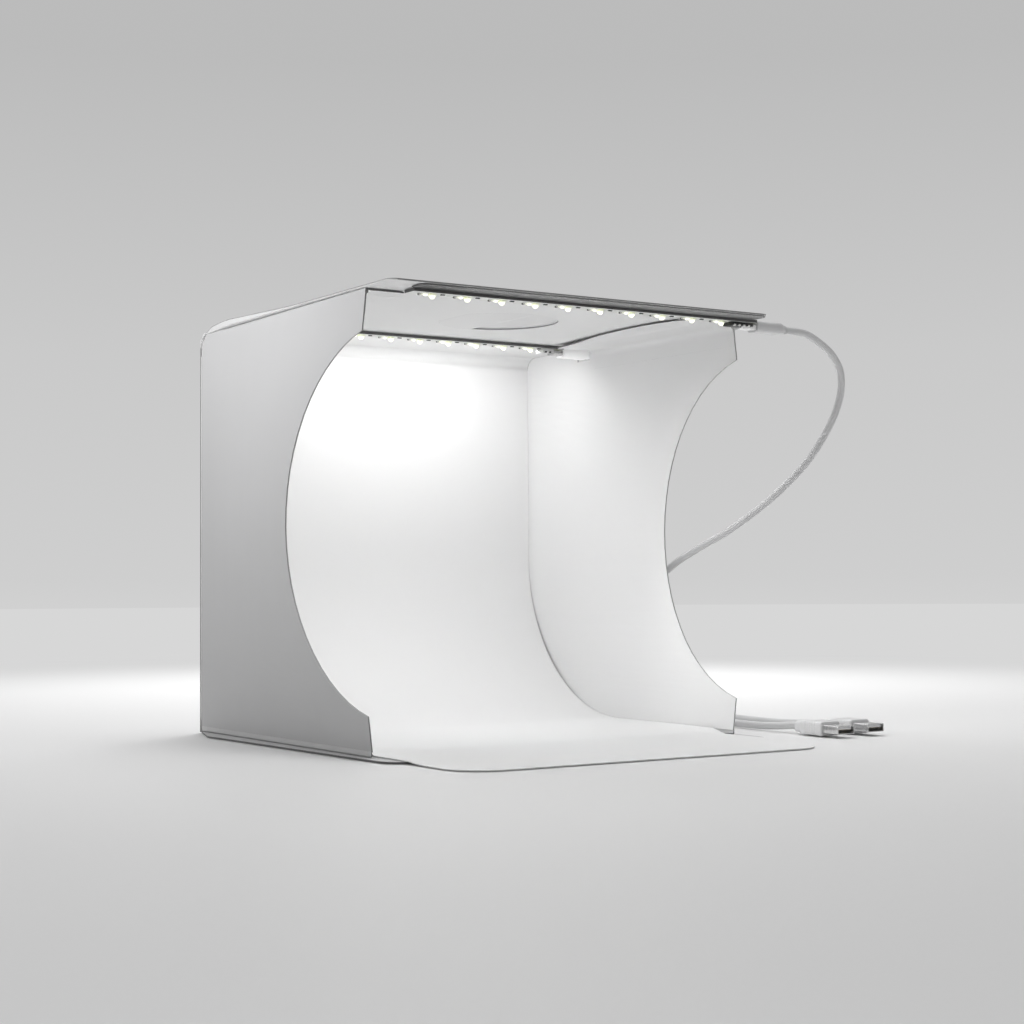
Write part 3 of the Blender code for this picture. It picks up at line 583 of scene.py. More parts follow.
def makeShadeFilm(look):
    # its solid's box, drawn out at both ends, with rounded corners
    low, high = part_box("front_glare_strip")
    left, right = look["longer"]
    ends = (low.x - left, low.y, low.z), (high.x + right, high.y, high.z)
    film = block(*ends, look["corner"], look["bevel"], steps=6)
    film = meshPiece("glareFilmStrip", film, [shadeFilmPaint("glareFilm", low, high, look)])
    mount(film, "lid", "front_glare_strip")


makeShadeFilm(shadeFilmLook)

backdropLook = {
    "colour": (0.82, 0.82, 0.82),
    "thick": 0.0005,
    "width": 0.220,
    "corner": 0.022,      # radius of the tongue's two corners
    "flat": 0.036,        # from the tongue's front to the ramp's foot
    "rampEnd": 0.0817,    # from the tongue's front to the ramp's top
    "rise": 0.0035,
    "stagePower": 1.6,    # draws the stage's rows together towards the front
    "sweep": 0.098,       # radius of the sweep behind the stage
    "rim": (0.70, 0.70, 0.70),
    "insideWider": 0.0024,   # how much further each side reaches between the walls
    "widerFrom": 0.102,      # from the tongue's front
    "widerOver": 0.030,
    "ground": 0.0010,        # the height that the ramp's two sides droop to
    "droopFrom": 0.085,      # how far from the middle the droop starts
    "droopEnds": 0.097,      # and how far behind the tongue's front it ends
    "droopOver": 0.012,
}


def makeBackdrop(look):
    # the sheet's own profile in y and z: flat tongue, an S-shaped ramp, a flat stage, a
    # quarter circle, then straight up; each row of points is drawn in round the corners
    low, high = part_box("backdrop_sheet")
    front, rear, top = low.y, high.y, high.z
    turn = quarterTurn(14)
    tongue = np.column_stack([front + look["corner"] * (1 - np.cos(turn)), turn * 0, turn * 0])
    t = np.linspace(0, 1, 20)
    run = look["rampEnd"] - look["flat"]
    slope = np.arctan(6 * look["rise"] / run * (t - t * t))
    ramp = np.column_stack([front + look["flat"] + run * t, look["rise"] * smooth(t), slope])
    centre, stage = rear - look["sweep"], front + look["rampEnd"]
    stage = stage + (centre - stage) * np.linspace(0, 1, 18)[1:-1] ** look["stagePower"]
    stage = np.column_stack([stage, stage * 0 + look["rise"], stage * 0])
    turn = quarterTurn(48)
    sweep = np.column_stack([
        centre + look["sweep"] * np.sin(turn), look["rise"] + look["sweep"] * (1 - np.cos(turn)), turn,
    ])
    rise = np.linspace(look["rise"] + look["sweep"], top, 10)[1:]
    rise = np.column_stack([rise * 0 + rear, rise, rise * 0 + math.pi / 2])
    y, z, tilt = np.vstack([tongue, ramp, stage, sweep, rise]).T
    inset = np.maximum(0, look["corner"] - (y - front))
    reach = look["width"] / 2 - (look["corner"] - np.sqrt(look["corner"] ** 2 - inset**2))
    reach += look["insideWider"] * smooth((y - front - look["widerFrom"]) / look["widerOver"])
    across = spread(0.72, 12, 19)
    x = reach[:, None] * across
    side = smooth((np.abs(x) - look["droopFrom"]) / (look["width"] / 2 - look["droopFrom"]))
    ahead = smooth((front + look["droopEnds"] - y) / look["droopOver"])
    droop = np.maximum(0, z - look["ground"])[:, None] * side * ahead[:, None]
    under = np.stack([x, y[:, None] + across * 0, z[:, None] - droop], -1)[:, ::-1]
    lift = np.stack([tilt * 0, -np.sin(tilt), np.cos(tilt)], -1) * look["thick"]
    paint = plainPaint("backdropSheet", look["colour"], (0.48, 0.56), (8, 2.0), 0.98, (1100, 2.0))
    rim = plainPaint("backdropEdge", look["rim"], (0.56, 0.64))
    made = sheetPiece("backdropSheet", under, under + lift[:, None], paint, rim)
    mount(made, "backdrop", "backdrop_sheet")


makeBackdrop(backdropLook)

hatchLook = {
    "lift": 0.0015,       # how far the disc stands above the lid
    "liftFrom": 0.0318,   # from the crease to where the cut opens
    "liftOver": 0.0060,
    "closer": 0.00045,    # its cut is finer than the gap between the two solids
    "rings": 12,
    "sides": 120,
}


def makeHatch(look):
    # a disc cut straight at its crease: points at shares of the way from a middle point out
    # to its outline, each raised by a smooth step of its distance from the crease
    low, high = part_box("round_hatch")
    radius = (high.y - low.y) / 2 + look["closer"]
    middle = np.array([high.x + look["closer"] - radius, (low.y + high.y) / 2])
    crease = low.x - look["closer"] / 2
    reach = math.acos((crease - middle[0]) / radius)
    turn = np.linspace(-reach, reach, look["sides"])
    outline = middle + radius * circle(turn)
    share = np.linspace(0, 1, look["rings"] + 1)[1:, None, None]
    rings = middle + (outline - middle)[None] * share
    lift = smooth((rings[..., 0] - crease - look["liftFrom"]) / look["liftOver"]) * look["lift"]
    lower = np.concatenate([rings, (low.z + lift)[..., None]], -1)
    upper = np.concatenate([rings, (high.z + lift)[..., None]], -1)
    both = np.concatenate([lower, upper[::-1]])
    faces = ringFaces(len(both), look["sides"])
    disc = meshPiece("roundHatchDisc", (both, faces), [whiteSheet], 35)
    mount(disc, "hatch", "round_hatch")


makeHatch(hatchLook)

wallLook = {
    "inner": 0.1126,      # from the middle to the walls' inner faces, at the rear
    "lean": 0.0028,       # how far a wall's top leans out from rear to front
    "front": -0.0611,
    "depth": 0.202,
    "low": 0.0035,
    "high": 0.2289,
    "bowPower": 1.25,
    "thick": 0.0008,
}


def wallInside(side, y, z, look=wallLook):
    # a bow that is widest at the front and at half the height, and a lean that grows upward
    t = (y - look["front"]) / look["depth"]
    up = np.clip((z - look["low"]) / (look["high"] - look["low"]), 0, 1)
    bow = side["bow"] * (4 * up * (1 - up)) ** look["bowPower"] * (1 - t * t)
    return look["inner"] + bow + look["lean"] * up * (1 - t)


flapLook = {
    "drop": 0.0110,      # how far its fold reaches down the wall
    "proud": 0.00006,    # how far it stands off the wall's inner face
    "curl": 0.00115,     # how far its free edge and its front end curl up to the lid
    "curlOver": 0.0045,  # the width over which the free edge curls
    "curlFade": 0.3,     # the share of its length over which that ends
    "curlFront": 0.009,  # the length over which its front end curls
    "padded": 0.0125,    # half width of its middle part, which lies on pads
    "bulgePower": 0.55,
    "rows": 72,
    "rowPower": 1.15,    # draws the rows together towards the front
    "thin": 0.1,         # share of the sheet's thickness that shows against the wall
    "clear": 0.0004,     # how far outside the fold the blend starts and ends
}
leftSide = {
    "way": -1, "name": "left", "bow": 0.0087, "bend": 0.0014, "width": 0.018, "bulge": 0.004,
    "curlTo": 1.4,
}
rightSide = {
    "way": 1, "name": "right", "bow": 0.0096, "bend": 0.0045, "width": 0.0255, "bulge": 0.0095,
    "curlTo": 0.88,
}


def makeFlap(side, look):
    # wall and flap are one sheet: the profile goes up the wall's inner face, round a quarter
    # circle and in under the lid, as far as an edge that bulges by a sine along its length
    low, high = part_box(side["name"] + "_top_flap")
    rows, way = look["rows"], side["way"]
    t = np.linspace(0, 1, rows)[:, None] ** look["rowPower"]
    y = low.y + (high.y - low.y) * t
    bulge = side["bulge"] * np.sin(math.pi * t ** look["bulgePower"])
    edge = wallLook["inner"] - side["width"] - bulge
    bend, thick, under = side["bend"], wallLook["thick"], low.z
    turn = quarterTurn(11)[None]
    up = under - np.linspace(look["drop"], bend, 7)[None, :-1]
    across = np.linspace(0, 1, 20)[None, 1:]
    wall = wallInside(side, y, up) - look["proud"]
    fold = wallInside(side, y, under - bend) - look["proud"]
    flat = fold - bend + (edge - fold + bend) * across
    x = stretches(rows, wall, fold - bend * (1 - np.cos(turn)), flat)
    free = wallLook["inner"] - side["width"] / 2 - look["padded"] / 2 - x
    free = smooth(free / look["curlOver"]) * smooth((side["curlTo"] - t) / look["curlFade"])
    ahead = smooth((look["curlFront"] - (y - low.y)) / look["curlFront"]) * (x < fold - bend * 0.7)
    z = stretches(rows, up, under - bend + bend * np.sin(turn), under + 0 * across)
    z = z + look["curl"] * np.maximum(free, ahead)
    outward = stretches(rows, 1 + 0 * up, np.cos(turn), 0 * across)
    upward = stretches(rows, 0 * up, np.sin(turn), 1 + 0 * across)
    thin = look["thin"]
    thinned = thin + (1 - thin) * (turn / turn.max()) ** 2
    thick = thick * stretches(rows, thin + 0 * up, thinned, 1 + 0 * across)
    lower = np.stack([way * x, y + 0 * x, z], -1)[:, ::-way]
    upper = np.stack([way * (x + outward * thick), y + 0 * x, z + upward * thick], -1)[:, ::-way]
    piece = sheetPiece(side["name"] + "FlapSheet", lower, upper, whiteLining, sheetEdge)
    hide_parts(side["name"] + "_top_flap")
    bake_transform(piece)


footLook = {
    "rise": 0.0005,        # how far it reaches up the wall's outer face
    "bend": 0.0008,        # radius of its fold at the floor
    "floor": 0.00095,      # the height it comes down to
    "cornerFrom": 0.004,   # from its front end, where its inner corner starts to widen
    "cornerOver": 0.022,
    "least": 0.0005,       # the width of its flat part at its front end
    "riseFrom": 0.015,     # from its front end, where it starts to climb to its grip strip
    "riseOver": 0.020,
    "skew": 0.008,         # how far its front end runs back behind the wall
    "longer": 0.0095,      # past its solid, as far as the wall's rear edge
    "proud": 0.00012,
    "slope": 0.0030,       # the width over which it climbs on to the pads
    "rows": 60,
    "rowPower": 1.3,
    "thin": 0.1,
}


def makeFoot(side, look):
    # the wall's bottom flap, from the wall's outer face round a quarter circle down to the
    # floor, then up a smooth slope on to its grip strip and flat inward
    low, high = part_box(side["name"] + "_bottom_flap")
    rows, way = look["rows"], side["way"]
    t = np.linspace(0, 1, rows)[:, None] ** look["rowPower"]
    y = low.y + (high.y + look["longer"] - low.y) * t
    climb = smooth((y - low.y - look["riseFrom"]) / look["riseOver"])
    level = look["floor"] + (low.z - look["floor"]) * climb
    bend, thick = look["bend"], wallLook["thick"]
    down = np.linspace(wallLook["low"] + look["rise"], look["floor"] + bend, 6)[None, :-1]
    wall = wallInside(side, y, down) + thick + look["proud"]
    foot = wallInside(side, y, look["floor"] + bend) + thick + look["proud"]
    turn = quarterTurn(9)[None]
    slope = np.linspace(0, 1, 9)[None, 1:]
    flat = np.linspace(0, 1, 8)[None, 1:]
    top = foot - bend - look["slope"]
    corner = smooth((y - low.y - look["cornerFrom"]) / look["cornerOver"])
    least = top - look["least"]
    inner = least - (least - (low.x if way > 0 else -high.x)) * corner
    x = stretches(
        rows, wall, foot - bend * (1 - np.cos(turn)), foot - bend - look["slope"] * slope,
        top + (inner - top) * flat,
    )
    z = stretches(
        rows, down, look["floor"] + bend * (1 - np.sin(turn)),
        look["floor"] + (level - look["floor"]) * smooth(slope), level + 0 * flat,
    )
    inward = stretches(rows, 1 + 0 * down, np.cos(turn), 0 * slope, 0 * flat)
    upward = stretches(rows, 0 * down, np.sin(turn), 1 + 0 * slope, 1 + 0 * flat)
    thinned = np.linspace(look["thin"], 1, 5)[None]
    thick = thick * stretches(rows, thinned, 1 + 0 * turn, 1 + 0 * slope, 1 + 0 * flat)
    y = y + look["skew"] * (1 - t) ** 3 * smooth((foot - x) / (bend + look["slope"]))
    outer = np.stack([way * x, y, z], -1)[:, ::-way]
    lining = np.stack([way * (x - inward * thick), y, z + upward * thick], -1)[:, ::-way]
    piece = sheetPiece(side["name"] + "FootSheet", outer, lining, footSheet, sheetEdge)
    mount(piece, side["name"] + "_wall", side["name"] + "_bottom_flap")


for side in (leftSide, rightSide):
    makeFlap(side, flapLook)
    makeFoot(side, footLook)
print("backdrop, hatch and flaps made")

boardLook = {
    "thick": 0.0018,
    "corner": 0.0008,
    "bevel": 0.00012,
    "solder": (0.76, 0.77, 0.75),    # the board's white coating
    "edge": (0.10, 0.10, 0.10),      # its cut edge and the foam tape on it
    # painted light: the yellow-green that the lit LEDs cast on the coating round them
    "paintedLight": (0.80, 0.86, 0.48),      # coating beside a lit LED
    "paintedLightReach": (0.0015, 0.0052),
    "first": 0.006,                  # from the board's left end to the first resistor
    "led": (0.0028, 0.0035, 0.0005),
    "leds": ((0.0026, -0.0012, 0.0012, 0.0008), (0.0080, 0.0014, 0.0016, 0.0017)),   # place, dome
    "ledEnd": (0.0018, 0.0007, 0.00018),
    "ledEndAt": 0.0020,
    "glowColour": (1.0, 1.0, 0.90),
    "glowRim": (0.80, 0.92, 0.42),
    "glowStrength": 1.25,
    "resistor": (0.0012, 0.0016, 0.0008),
    "resistorBody": (1, 0.62, 1),            # these two are shares of the resistor's size
    "resistorEnd": (1.05, 0.30, 0.92),
    "resistorEndAt": 0.42,
    "resistorAside": 0.0005,
    "chip": (0.0024, 0.0010, 0.0005),
    "chipEnd": (0.0005, 0.0009, 0.0002),
    "chipEndAt": 0.56,
    "chipStep": 0.0118,
    "chipAside": -0.0022,
    "traceAsides": (-0.0040, 0.0038),
    "trace": (0.00018, 0.00032),     # half widths of a copper line, at its top and its foot
    "link": (0.00015, 0.00028),
}
frontBoard = {"name": "front", "groups": 10, "pitch": 0.0204}
rearBoard = {"name": "rear", "groups": 8, "pitch": 0.0194}


def boardPaint(name, low, middle, board, look):
    # white coating with raised copper lines under it, and the LEDs' yellow-green light painted on it beside
    # each pair of LEDs; the place within a group repeats along x
    paint = Paint(name, look["solder"], 0.34)
    where, (x, y, z) = paint.place(), paint.axes()
    along = (x - (low.x + look["first"])) % board["pitch"]
    aside = y - middle
    lines = 0.0
    for line in look["traceAsides"]:
        lines = paint.fade(abs(aside - line), *look["trace"], 1.0, 0.0) + lines
    link = paint.fade(abs(aside - look["chipAside"]), *look["link"], 1.0, 0.0)
    copper = (lines + link * (along > look["chipStep"])).atMost(1.0)
    between = sum(led[0] for led in look["leds"]) / 2
    point = paint.node("ShaderNodeCombineXYZ", sockets={0: along - between, 1: aside, 2: 0.0})
    # painted light, fading with the distance from the middle of each pair of LEDs
    paintedLight = paint.fade(paint.length(point), *look["paintedLightReach"], 0.85, 0.0)
    coat = paint.mix(copper * 0.5, look["solder"], shaded(look["solder"], 0.72))
    side = cutEdge(paint.axes("Normal")[2])
    paint.feed("Base Color", paint.mix(side, paint.mix(paintedLight, coat, look["paintedLight"]), look["edge"]))
    paint.feed("Roughness", 0.32 + paint.noise(where, 300, 2.0) * 0.10 + side * 0.3)
    paint.bump(copper + paint.noise(where, 2200, 2.0) * 0.1, 0.5, 0.00004)
    return paint.material


def glowPaint(look):
    # lit phosphor: near white where the dome looks down, yellow-green round its rim
    paint = Paint("litPhosphor", (0.85, 0.88, 0.55), 0.35, Emission_Strength=look["glowStrength"])
    rim = paint.fade(paint.axes("Normal")[2], -0.45, -0.02)
    paint.feed("Emission Color", paint.mix(rim, look["glowColour"], look["glowRim"]))
    paint.feed("Roughness", 0.30 + paint.noise(paint.place(), 900, 2.0) * 0.1)
    return paint.material


def ledPaint(look):
    # white package that its own lamp shines through in patches
    paint = Paint("ledWhite", (0.86, 0.87, 0.82), 0.35, Emission_Strength=0.4)
    patches = paint.noise(paint.place(), 420, 2.0)
    paint.feed("Emission Color", paint.mix(patches, look["glowColour"], (0.86, 0.94, 0.66)))
    paint.feed("Roughness", 0.32 + paint.noise(paint.place(), 900, 2.0) * 0.1)
    return paint.material


def chipPaint():
    # black moulded body, a little greyer in patches
    paint = Paint("chipBlack", (0.02, 0.02, 0.02), 0.4)
    patches = paint.noise(paint.place(), 700, 2.0)
    paint.feed("Base Color", paint.mix(patches, (0.015, 0.015, 0.015), (0.045, 0.045, 0.045)))
    paint.feed("Roughness", 0.35 + paint.noise(paint.place(), 1500, 2.0) * 0.2)
    return paint.material


chipBlack = chipPaint()
litPhosphor = glowPaint(boardLook)
ledWhite = ledPaint(boardLook)
solderTin = metalPaint("solderTin", (0.78, 0.78, 0.76), 0.34, (1.0, 1.0, 1.0))


def hung(size, step, aside, corner=0.00012, bevel=0.00006):
    # a small block under a board, at a place along it and a distance from its middle
    wide, deep, tall = size
    low = (step - wide / 2, aside - deep / 2, -tall)
    return block(low, (step + wide / 2, aside + deep / 2, 0), corner, bevel)


def makeBoard(board, look):
    # the panel, and one group of its parts made once and repeated at an even pitch; a dome is
    # a quarter ellipse turned round its axis
    name = board["name"]
    low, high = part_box(name + "_light_board")
    middle = (low.y + high.y) / 2
    under = high.z - look["thick"]
    starts = low.x + look["first"] + board["pitch"] * np.arange(board["groups"])
    offsets = np.stack([starts, starts * 0 + middle, starts * 0 + under], -1)
    panel = block((low.x, low.y, under), tuple(high), look["corner"], look["bevel"])
    paint = boardPaint(name + "BoardCoat", low, middle, board, look)
    panel = meshPiece(name + "BoardPanel", panel, [paint])
    mount(panel, "lid", name + "_light_board")
    bodies, domes, tins = [], [], []
    turn = np.linspace(0.04, math.pi / 2, 6)
    for step, aside, radius, height in look["leds"]:
        bodies.append(hung(look["led"], step, aside, 0.0004, 0.00010))
        down = -look["led"][2] - height * np.cos(turn) + 0.00002
        profile = np.column_stack([down, radius * np.sin(turn)])
        domes.append(turned(profile, (step, aside), sides=14))
        for end in (-1, 1):
            tins.append(hung(look["ledEnd"], step, aside + end * look["ledEndAt"], 0.0002))
    size = np.array(look["resistor"])
    chips = [
        hung(size * look["resistorBody"], 0, look["resistorAside"], 0.0001),
        hung(look["chip"], look["chipStep"], look["chipAside"], 0.0002),
    ]
    for end in (-1, 1):
        aside = look["resistorAside"] + end * size[1] * look["resistorEndAt"]
        tins.append(hung(size * look["resistorEnd"], 0, aside))
        step = look["chipStep"] + end * look["chip"][0] * look["chipEndAt"]
        tins.append(hung(look["chipEnd"], step, look["chipAside"]))
    for word, parts, material in (
        ("LedBodies", bodies, ledWhite), ("LedDomes", domes, litPhosphor),
        ("Chips", chips, chipBlack), ("SolderEnds", tins, solderTin),
    ):
        mount(meshPiece(name + word, repeated(joined(parts), offsets), [material]), "lid")


for board in (frontBoard, rearBoard):
    makeBoard(board, boardLook)
print("light boards made")

socketLook = {
    "wall": 0.0003,
    "depth": 0.0055,       # how deep the mouth is
    "corner": 0.0008,
    "flare": 0.00025,      # the mouth's lip
    "flareLong": 0.0008,
    "rounded": 0.0001,     # the lip's edge
    "back": (0.0004, 0.0005),    # length and depth of its closed end's rounding
    "pin": ((-0.0007, -0.0009, -0.0003), (0.0007, 0.0004, 0.0007)),   # two corners of a pin
    "pinsFrom": 0.0018,    # from the ends of the header's flange to the pins at its ends
    "pinsTo": 0.0030,
    "flange": 0.0006,
    "clear": 0.00006,      # between the flange and the socket's case
}
pinTin = metalPaint("pinTin", (0.92, 0.92, 0.90), 0.5, (1.0, 1.0, 1.0))
headers = {
    "front": {
        "colour": (0.014, 0.014, 0.014), "slot": "header_black", "metal": pinTin, "pins": 4,
        "ahead": 0.0026, "beyond": 0.0042, "raised": 0.0006, "caseLonger": 0.0036,
    },
    "rear": {
        "colour": (0.70, 0.70, 0.70), "slot": "board_white", "metal": chipBlack, "pins": 2,
        "ahead": 0.0, "beyond": 0.0, "raised": 0.0004, "caseLonger": 0.0,
    },
}


def makeSocket(name, look, header):
    # a thin case carried along x, out along its outside and back along its inside to the
    # floor of its mouth; beside it a block with a row of tinned pins
    low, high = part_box(name + "_micro_socket")
    middle, tall = (low.y + high.y) / 2, (low.z + high.z) / 2
    wide, deep = (high.y - low.y) / 2, (high.z - low.z) / 2
    wall, lip, edge = look["wall"], look["flare"], look["rounded"]
    first, (long, inset) = low.x - header["caseLonger"], look["back"]
    stations = [
        (at, wide - i, deep - i, look["corner"] - c) for at, i, c in (
            (first, inset, 0), (first + long, lip, 0), (high.x - look["flareLong"], lip, 0),
            (high.x - edge, 0, 0), (high.x, edge, 0), (high.x, wall, wall),
            (high.x - look["depth"], wall, wall),
        )
    ]
    case = meshPiece(name + "SocketCase", carried(stations, 0, (middle, tall)), [steel], 40)
    mount(case, "lid", name + "_micro_socket")
    paint = plainPaint(name + "HeaderBlock", header["colour"], (0.32, 0.40), grain=(900, 2.0))
    low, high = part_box(name + "_socket_header")
    start, end = low.x - header["ahead"], high.x + header["beyond"]
    near, bottom = middle - wide, low.z + header["raised"]
    flange = (start, near - look["flange"], bottom), (end, near - look["clear"], high.z)
    parts = [
        block((start, low.y, bottom), tuple(high), 0.0006, 0.0002),
        block(*flange, 0.0002, 0.0001),
    ]
    places = np.linspace(start + look["pinsFrom"], end - look["pinsTo"], header["pins"])
    pins = [block(*(np.array(look["pin"]) + (at, near, bottom)), 0.0003, 0.0002) for at in places]
    parts = meshPiece(name + "HeaderBlock", joined(parts), [paint])
    mount(parts, "lid", name + "_socket_header")
    mount(meshPiece(name + "HeaderPins", joined(pins), [header["metal"]]), "lid")


for name, header in headers.items():
    makeSocket(name, socketLook, header)

leadLook = {
    "diameter": 0.0042,
    "straight": 0.006,   # length that leaves each plug square
    "gap": 0.0003,       # between its ends and the solids they meet
    "step": 0.0036,      # between rings
    "sides": 24,
    "colour": (0.66, 0.66, 0.665),
    "lower": 0.030,      # between these two heights it turns from the back's to the lid's
    "upper": 0.191,
    "pieces": ("UsbMould", "UsbShell", "UsbTongue", "UsbContacts", "PlugCollar", "PlugBoot",
               "_micro_plug_shell"),
}
bootLook = {
    "start": 0.0018,     # how much closer to the socket the boot starts than its CAD solid
    "corner": 0.0028,
    "waist": 0.00025,
    "nose": ((0, 0.0007), (0.012, 0.00022), (0.04, 0.00002)),   # share of its length, inset
    "body": (0.10, 0.86),
    "tail": (0.14, 0.0017),     # share of its length that is rounded off, and how far in
    "flange": 1.15,      # the collar's first ring, against its solid
    "flangeFrom": 0.30,  # share of the collar's length where the flange starts to end
    "flangeOver": 0.18,
    "clear": 0.00015,    # between the collar and the lead
    "cone": 0.0004,      # the collar's height over that at its near end; it falls to nothing
    "rounded": 0.08,     # share of the collar's length over which its first edge is rounded
}
# soft moulded plastic with a fine spark grain; the rear one is paler and glows a little though it is no
# lamp, painted light that makes it as pale as the brightly lit wall round it
bootGrain = {"cloud": (160, 3.0), "shade": 0.95, "grain": (5200, 2.0), "dent": (0.2, 0.00001)}
bootPlastics = {
    "front": plainPaint("bootPlastic", (0.66, 0.66, 0.665), (0.30, 0.40), **bootGrain),
    "rear": plainPaint("bootPlastic", (0.88, 0.88, 0.88), (0.30, 0.40), **bootGrain, glow=0.22),
}


def makePlug(name, look):
    # the boot: a rounded rectangle carried along x, full in its middle, rounded off by a
    # quarter ellipse at its far end; the collar: a ring that falls by a smooth step to a
    # cone, turned round x
    low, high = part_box(name + "_micro_plug_boot")
    middle = ((low.y + high.y) / 2, (low.z + high.z) / 2)
    wide, tall = (high.y - low.y) / 2, (high.z - low.z) / 2
    start = low.x - look["start"]
    turn = np.linspace(0.15, math.pi / 2, 7)
    nose, (tail, drawn) = np.array(look["nose"]), look["tail"]
    waist = look["waist"] * np.sin(np.linspace(0, math.pi, 10)) ** 2
    share = [nose[:, 0], np.linspace(*look["body"], 10), 1 - tail * (1 - np.sin(turn))]
    inset = [nose[:, 1], waist, drawn * (1 - np.cos(turn))]
    stations = [
        (start + (high.x - start) * s, wide - i, tall - i, look["corner"] - i * 0.3)
        for s, i in zip(np.concatenate(share), np.concatenate(inset))
    ]
    boot = meshPiece(name + "PlugBoot", carried(stations, 0, middle, 6), [bootPlastics[name]], 60)
    mount(boot, name + "_plug", name + "_micro_plug_boot")
    low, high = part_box(name + "_plug_collar")
    radius, thin = (high.y - low.y) / 2, leadLook["diameter"] / 2 + look["clear"]
    t = np.linspace(0, 1, 34)
    flange = look["flange"] * (1 - smooth((t - look["flangeFrom"]) / look["flangeOver"]))
    flange *= np.sqrt(np.clip(t / look["rounded"], 0, 1))
    reach = thin + look["cone"] * (1 - t) + (radius - thin - look["cone"]) * flange
    collar = turned(np.column_stack([low.x + (high.x - low.x) * t, reach]), middle, 0, 28)
    collar = meshPiece(name + "PlugCollar", collar, [bootPlastics[name]], 60)
    mount(collar, name + "_plug", name + "_plug_collar")


for name in headers:
    makePlug(name, bootLook)

usbLook = {
    "corner": 0.0018,
    "grooves": 5,
    "grooveDepth": 0.00035,
    "grooved": (0.16, 0.40),    # share of the mould's length where they start, and that they take
    "neck": (0.00225, 0.0008),  # how much narrower and lower the neck is
    "neckFrom": (0.70, 0.06),   # share of the length where it starts, and that it takes
    "ends": (0.0005, 0.0006),   # how far the face and the neck's end are rounded
    "endsOver": (0.02, 0.03),   # and over what shares of the length
    "colour": (0.74, 0.74, 0.745),
    "sheet": 0.0004,       # the shell's metal
    "window": (0.0023, 0.0027),
    "windowBack": 0.0052,  # from the mouth to the windows' middle
    "windowApart": 0.0056,
    "tongue": (0.0050, 0.0001, 0.0017),        # half width, and its two heights over the middle
    "tongueShort": (0.0012, 0.0004),           # from the shell's mouth and its back end
    "contact": (0.0005, -0.00008, 0.00012),
    "contactShort": (0.0018, 0.0012),
    "contacts": (-0.0035, -0.0011, 0.0011, 0.0035),
}


def makeUsb(name, look):
    # the mould: stations along y from its face to its neck, its grip grooves sines in its
    # height; the shell: a tube of four flat sides with two windows above and two below
    low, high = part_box(name + "_usb_overmould")
    middle = ((low.x + high.x) / 2, (low.z + high.z) / 2)
    wide, tall = (high.x - low.x) / 2, (high.z - low.z) / 2
    share = np.concatenate([
        [0, 0.006, 0.02], np.linspace(0.05, 0.66, 44),
        [0.69, 0.71, 0.725, 0.74, 0.76, 0.80, 0.97, 0.99, 1.0],
    ])
    t = np.clip((share - look["grooved"][0]) / look["grooved"][1], 0, 1)
    groove = look["grooveDepth"] * np.sin(math.pi * look["grooves"] * t) ** 2
    neck = smooth((share - look["neckFrom"][0]) / look["neckFrom"][1])
    face, tail = look["endsOver"]
    ends = look["ends"][0] * np.maximum(0, 1 - share / face) ** 2
    ends += look["ends"][1] * np.maximum(0, 1 - (1 - share) / tail) ** 2
    halfWide = wide - look["neck"][0] * neck - ends - groove
    halfTall = tall - look["neck"][1] * neck - ends - groove
    stations = [
        (low.y + (high.y - low.y) * s, w, h, look["corner"] - 0.3 * e)
        for s, w, h, e in zip(share, halfWide, halfTall, ends)
    ]
    mould = meshPiece(name + "UsbMould", carried(stations, 1, middle, 6), [usbPlastic], 40)
    mount(mould, "back", name + "_usb_overmould")

    low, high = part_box(name + "_usb_shell")
    wide, tall = (high.x - low.x) / 2, (high.z - low.z) / 2
    outline = shellOutline(wide, tall)
    along = np.linspace(low.y, high.y, 61)
    rings = np.stack([np.insert(outline + middle, 1, y, axis=1) for y in along])
    faces = np.array(ringFaces(len(along), len(outline), False))
    mids = rings.reshape(-1, 3)[faces].mean(axis=1)
    half = np.array(look["window"]) / 2
    near = np.abs(np.abs(mids[:, 0] - middle[0]) - look["windowApart"] / 2) < half[0]
    inRow = np.abs(mids[:, 1] - (low.y + look["windowBack"])) < half[1]
    flat = np.abs(mids[:, 2] - middle[1]) > tall - 1e-5
    kept = faces[~(near & inRow & flat)].tolist()
    shell = meshPiece(name + "UsbShell", (rings, kept), [steel], 40)
    solid = shell.modifiers.new("metal", "SOLIDIFY")
    solid.thickness, solid.offset = look["sheet"], -1
    mount(shell, "back", name + "_usb_shell")

    def strip(x, size, short, corner, bevel, axis=2):
        # a block along the shell, kept short of its mouth and of its back end
        across, bottom, top = size
        first = (middle[0] + x - across, low.y + short[0], middle[1] + bottom)
        last = (middle[0] + x + across, high.y - short[1], middle[1] + top)
        return block(first, last, corner, bevel, axis)

    inner = strip(0, look["tongue"], look["tongueShort"], 0.0002, 0.0002, 1)
    mount(meshPiece(name + "UsbTongue", inner, [usbPlastic]), "back")
    size = look["contact"], look["contactShort"]
    strips = [strip(x, *size, 0.00015, 0.00005) for x in look["contacts"]]
    mount(meshPiece(name + "UsbContacts", joined(strips), [contactGold]), "back")


def shellOutline(wide, tall, corner=0.0006):
    # once round the shell, with many points along its two wide sides, clockwise seen from the
    # lead's end so that its faces look out
    turn = quarterTurn(4)
    quarter = corner * circle(turn)
    right = quarter + (wide - corner, tall - corner)
    left = quarter[::-1] * (-1, 1) + (-(wide - corner), tall - corner)
    across = np.linspace(wide - corner, corner - wide, 41)[1:-1]
    upper = np.vstack([right, np.column_stack([across, across * 0 + tall]), left])
    return np.vstack([upper, -upper])[::-1]


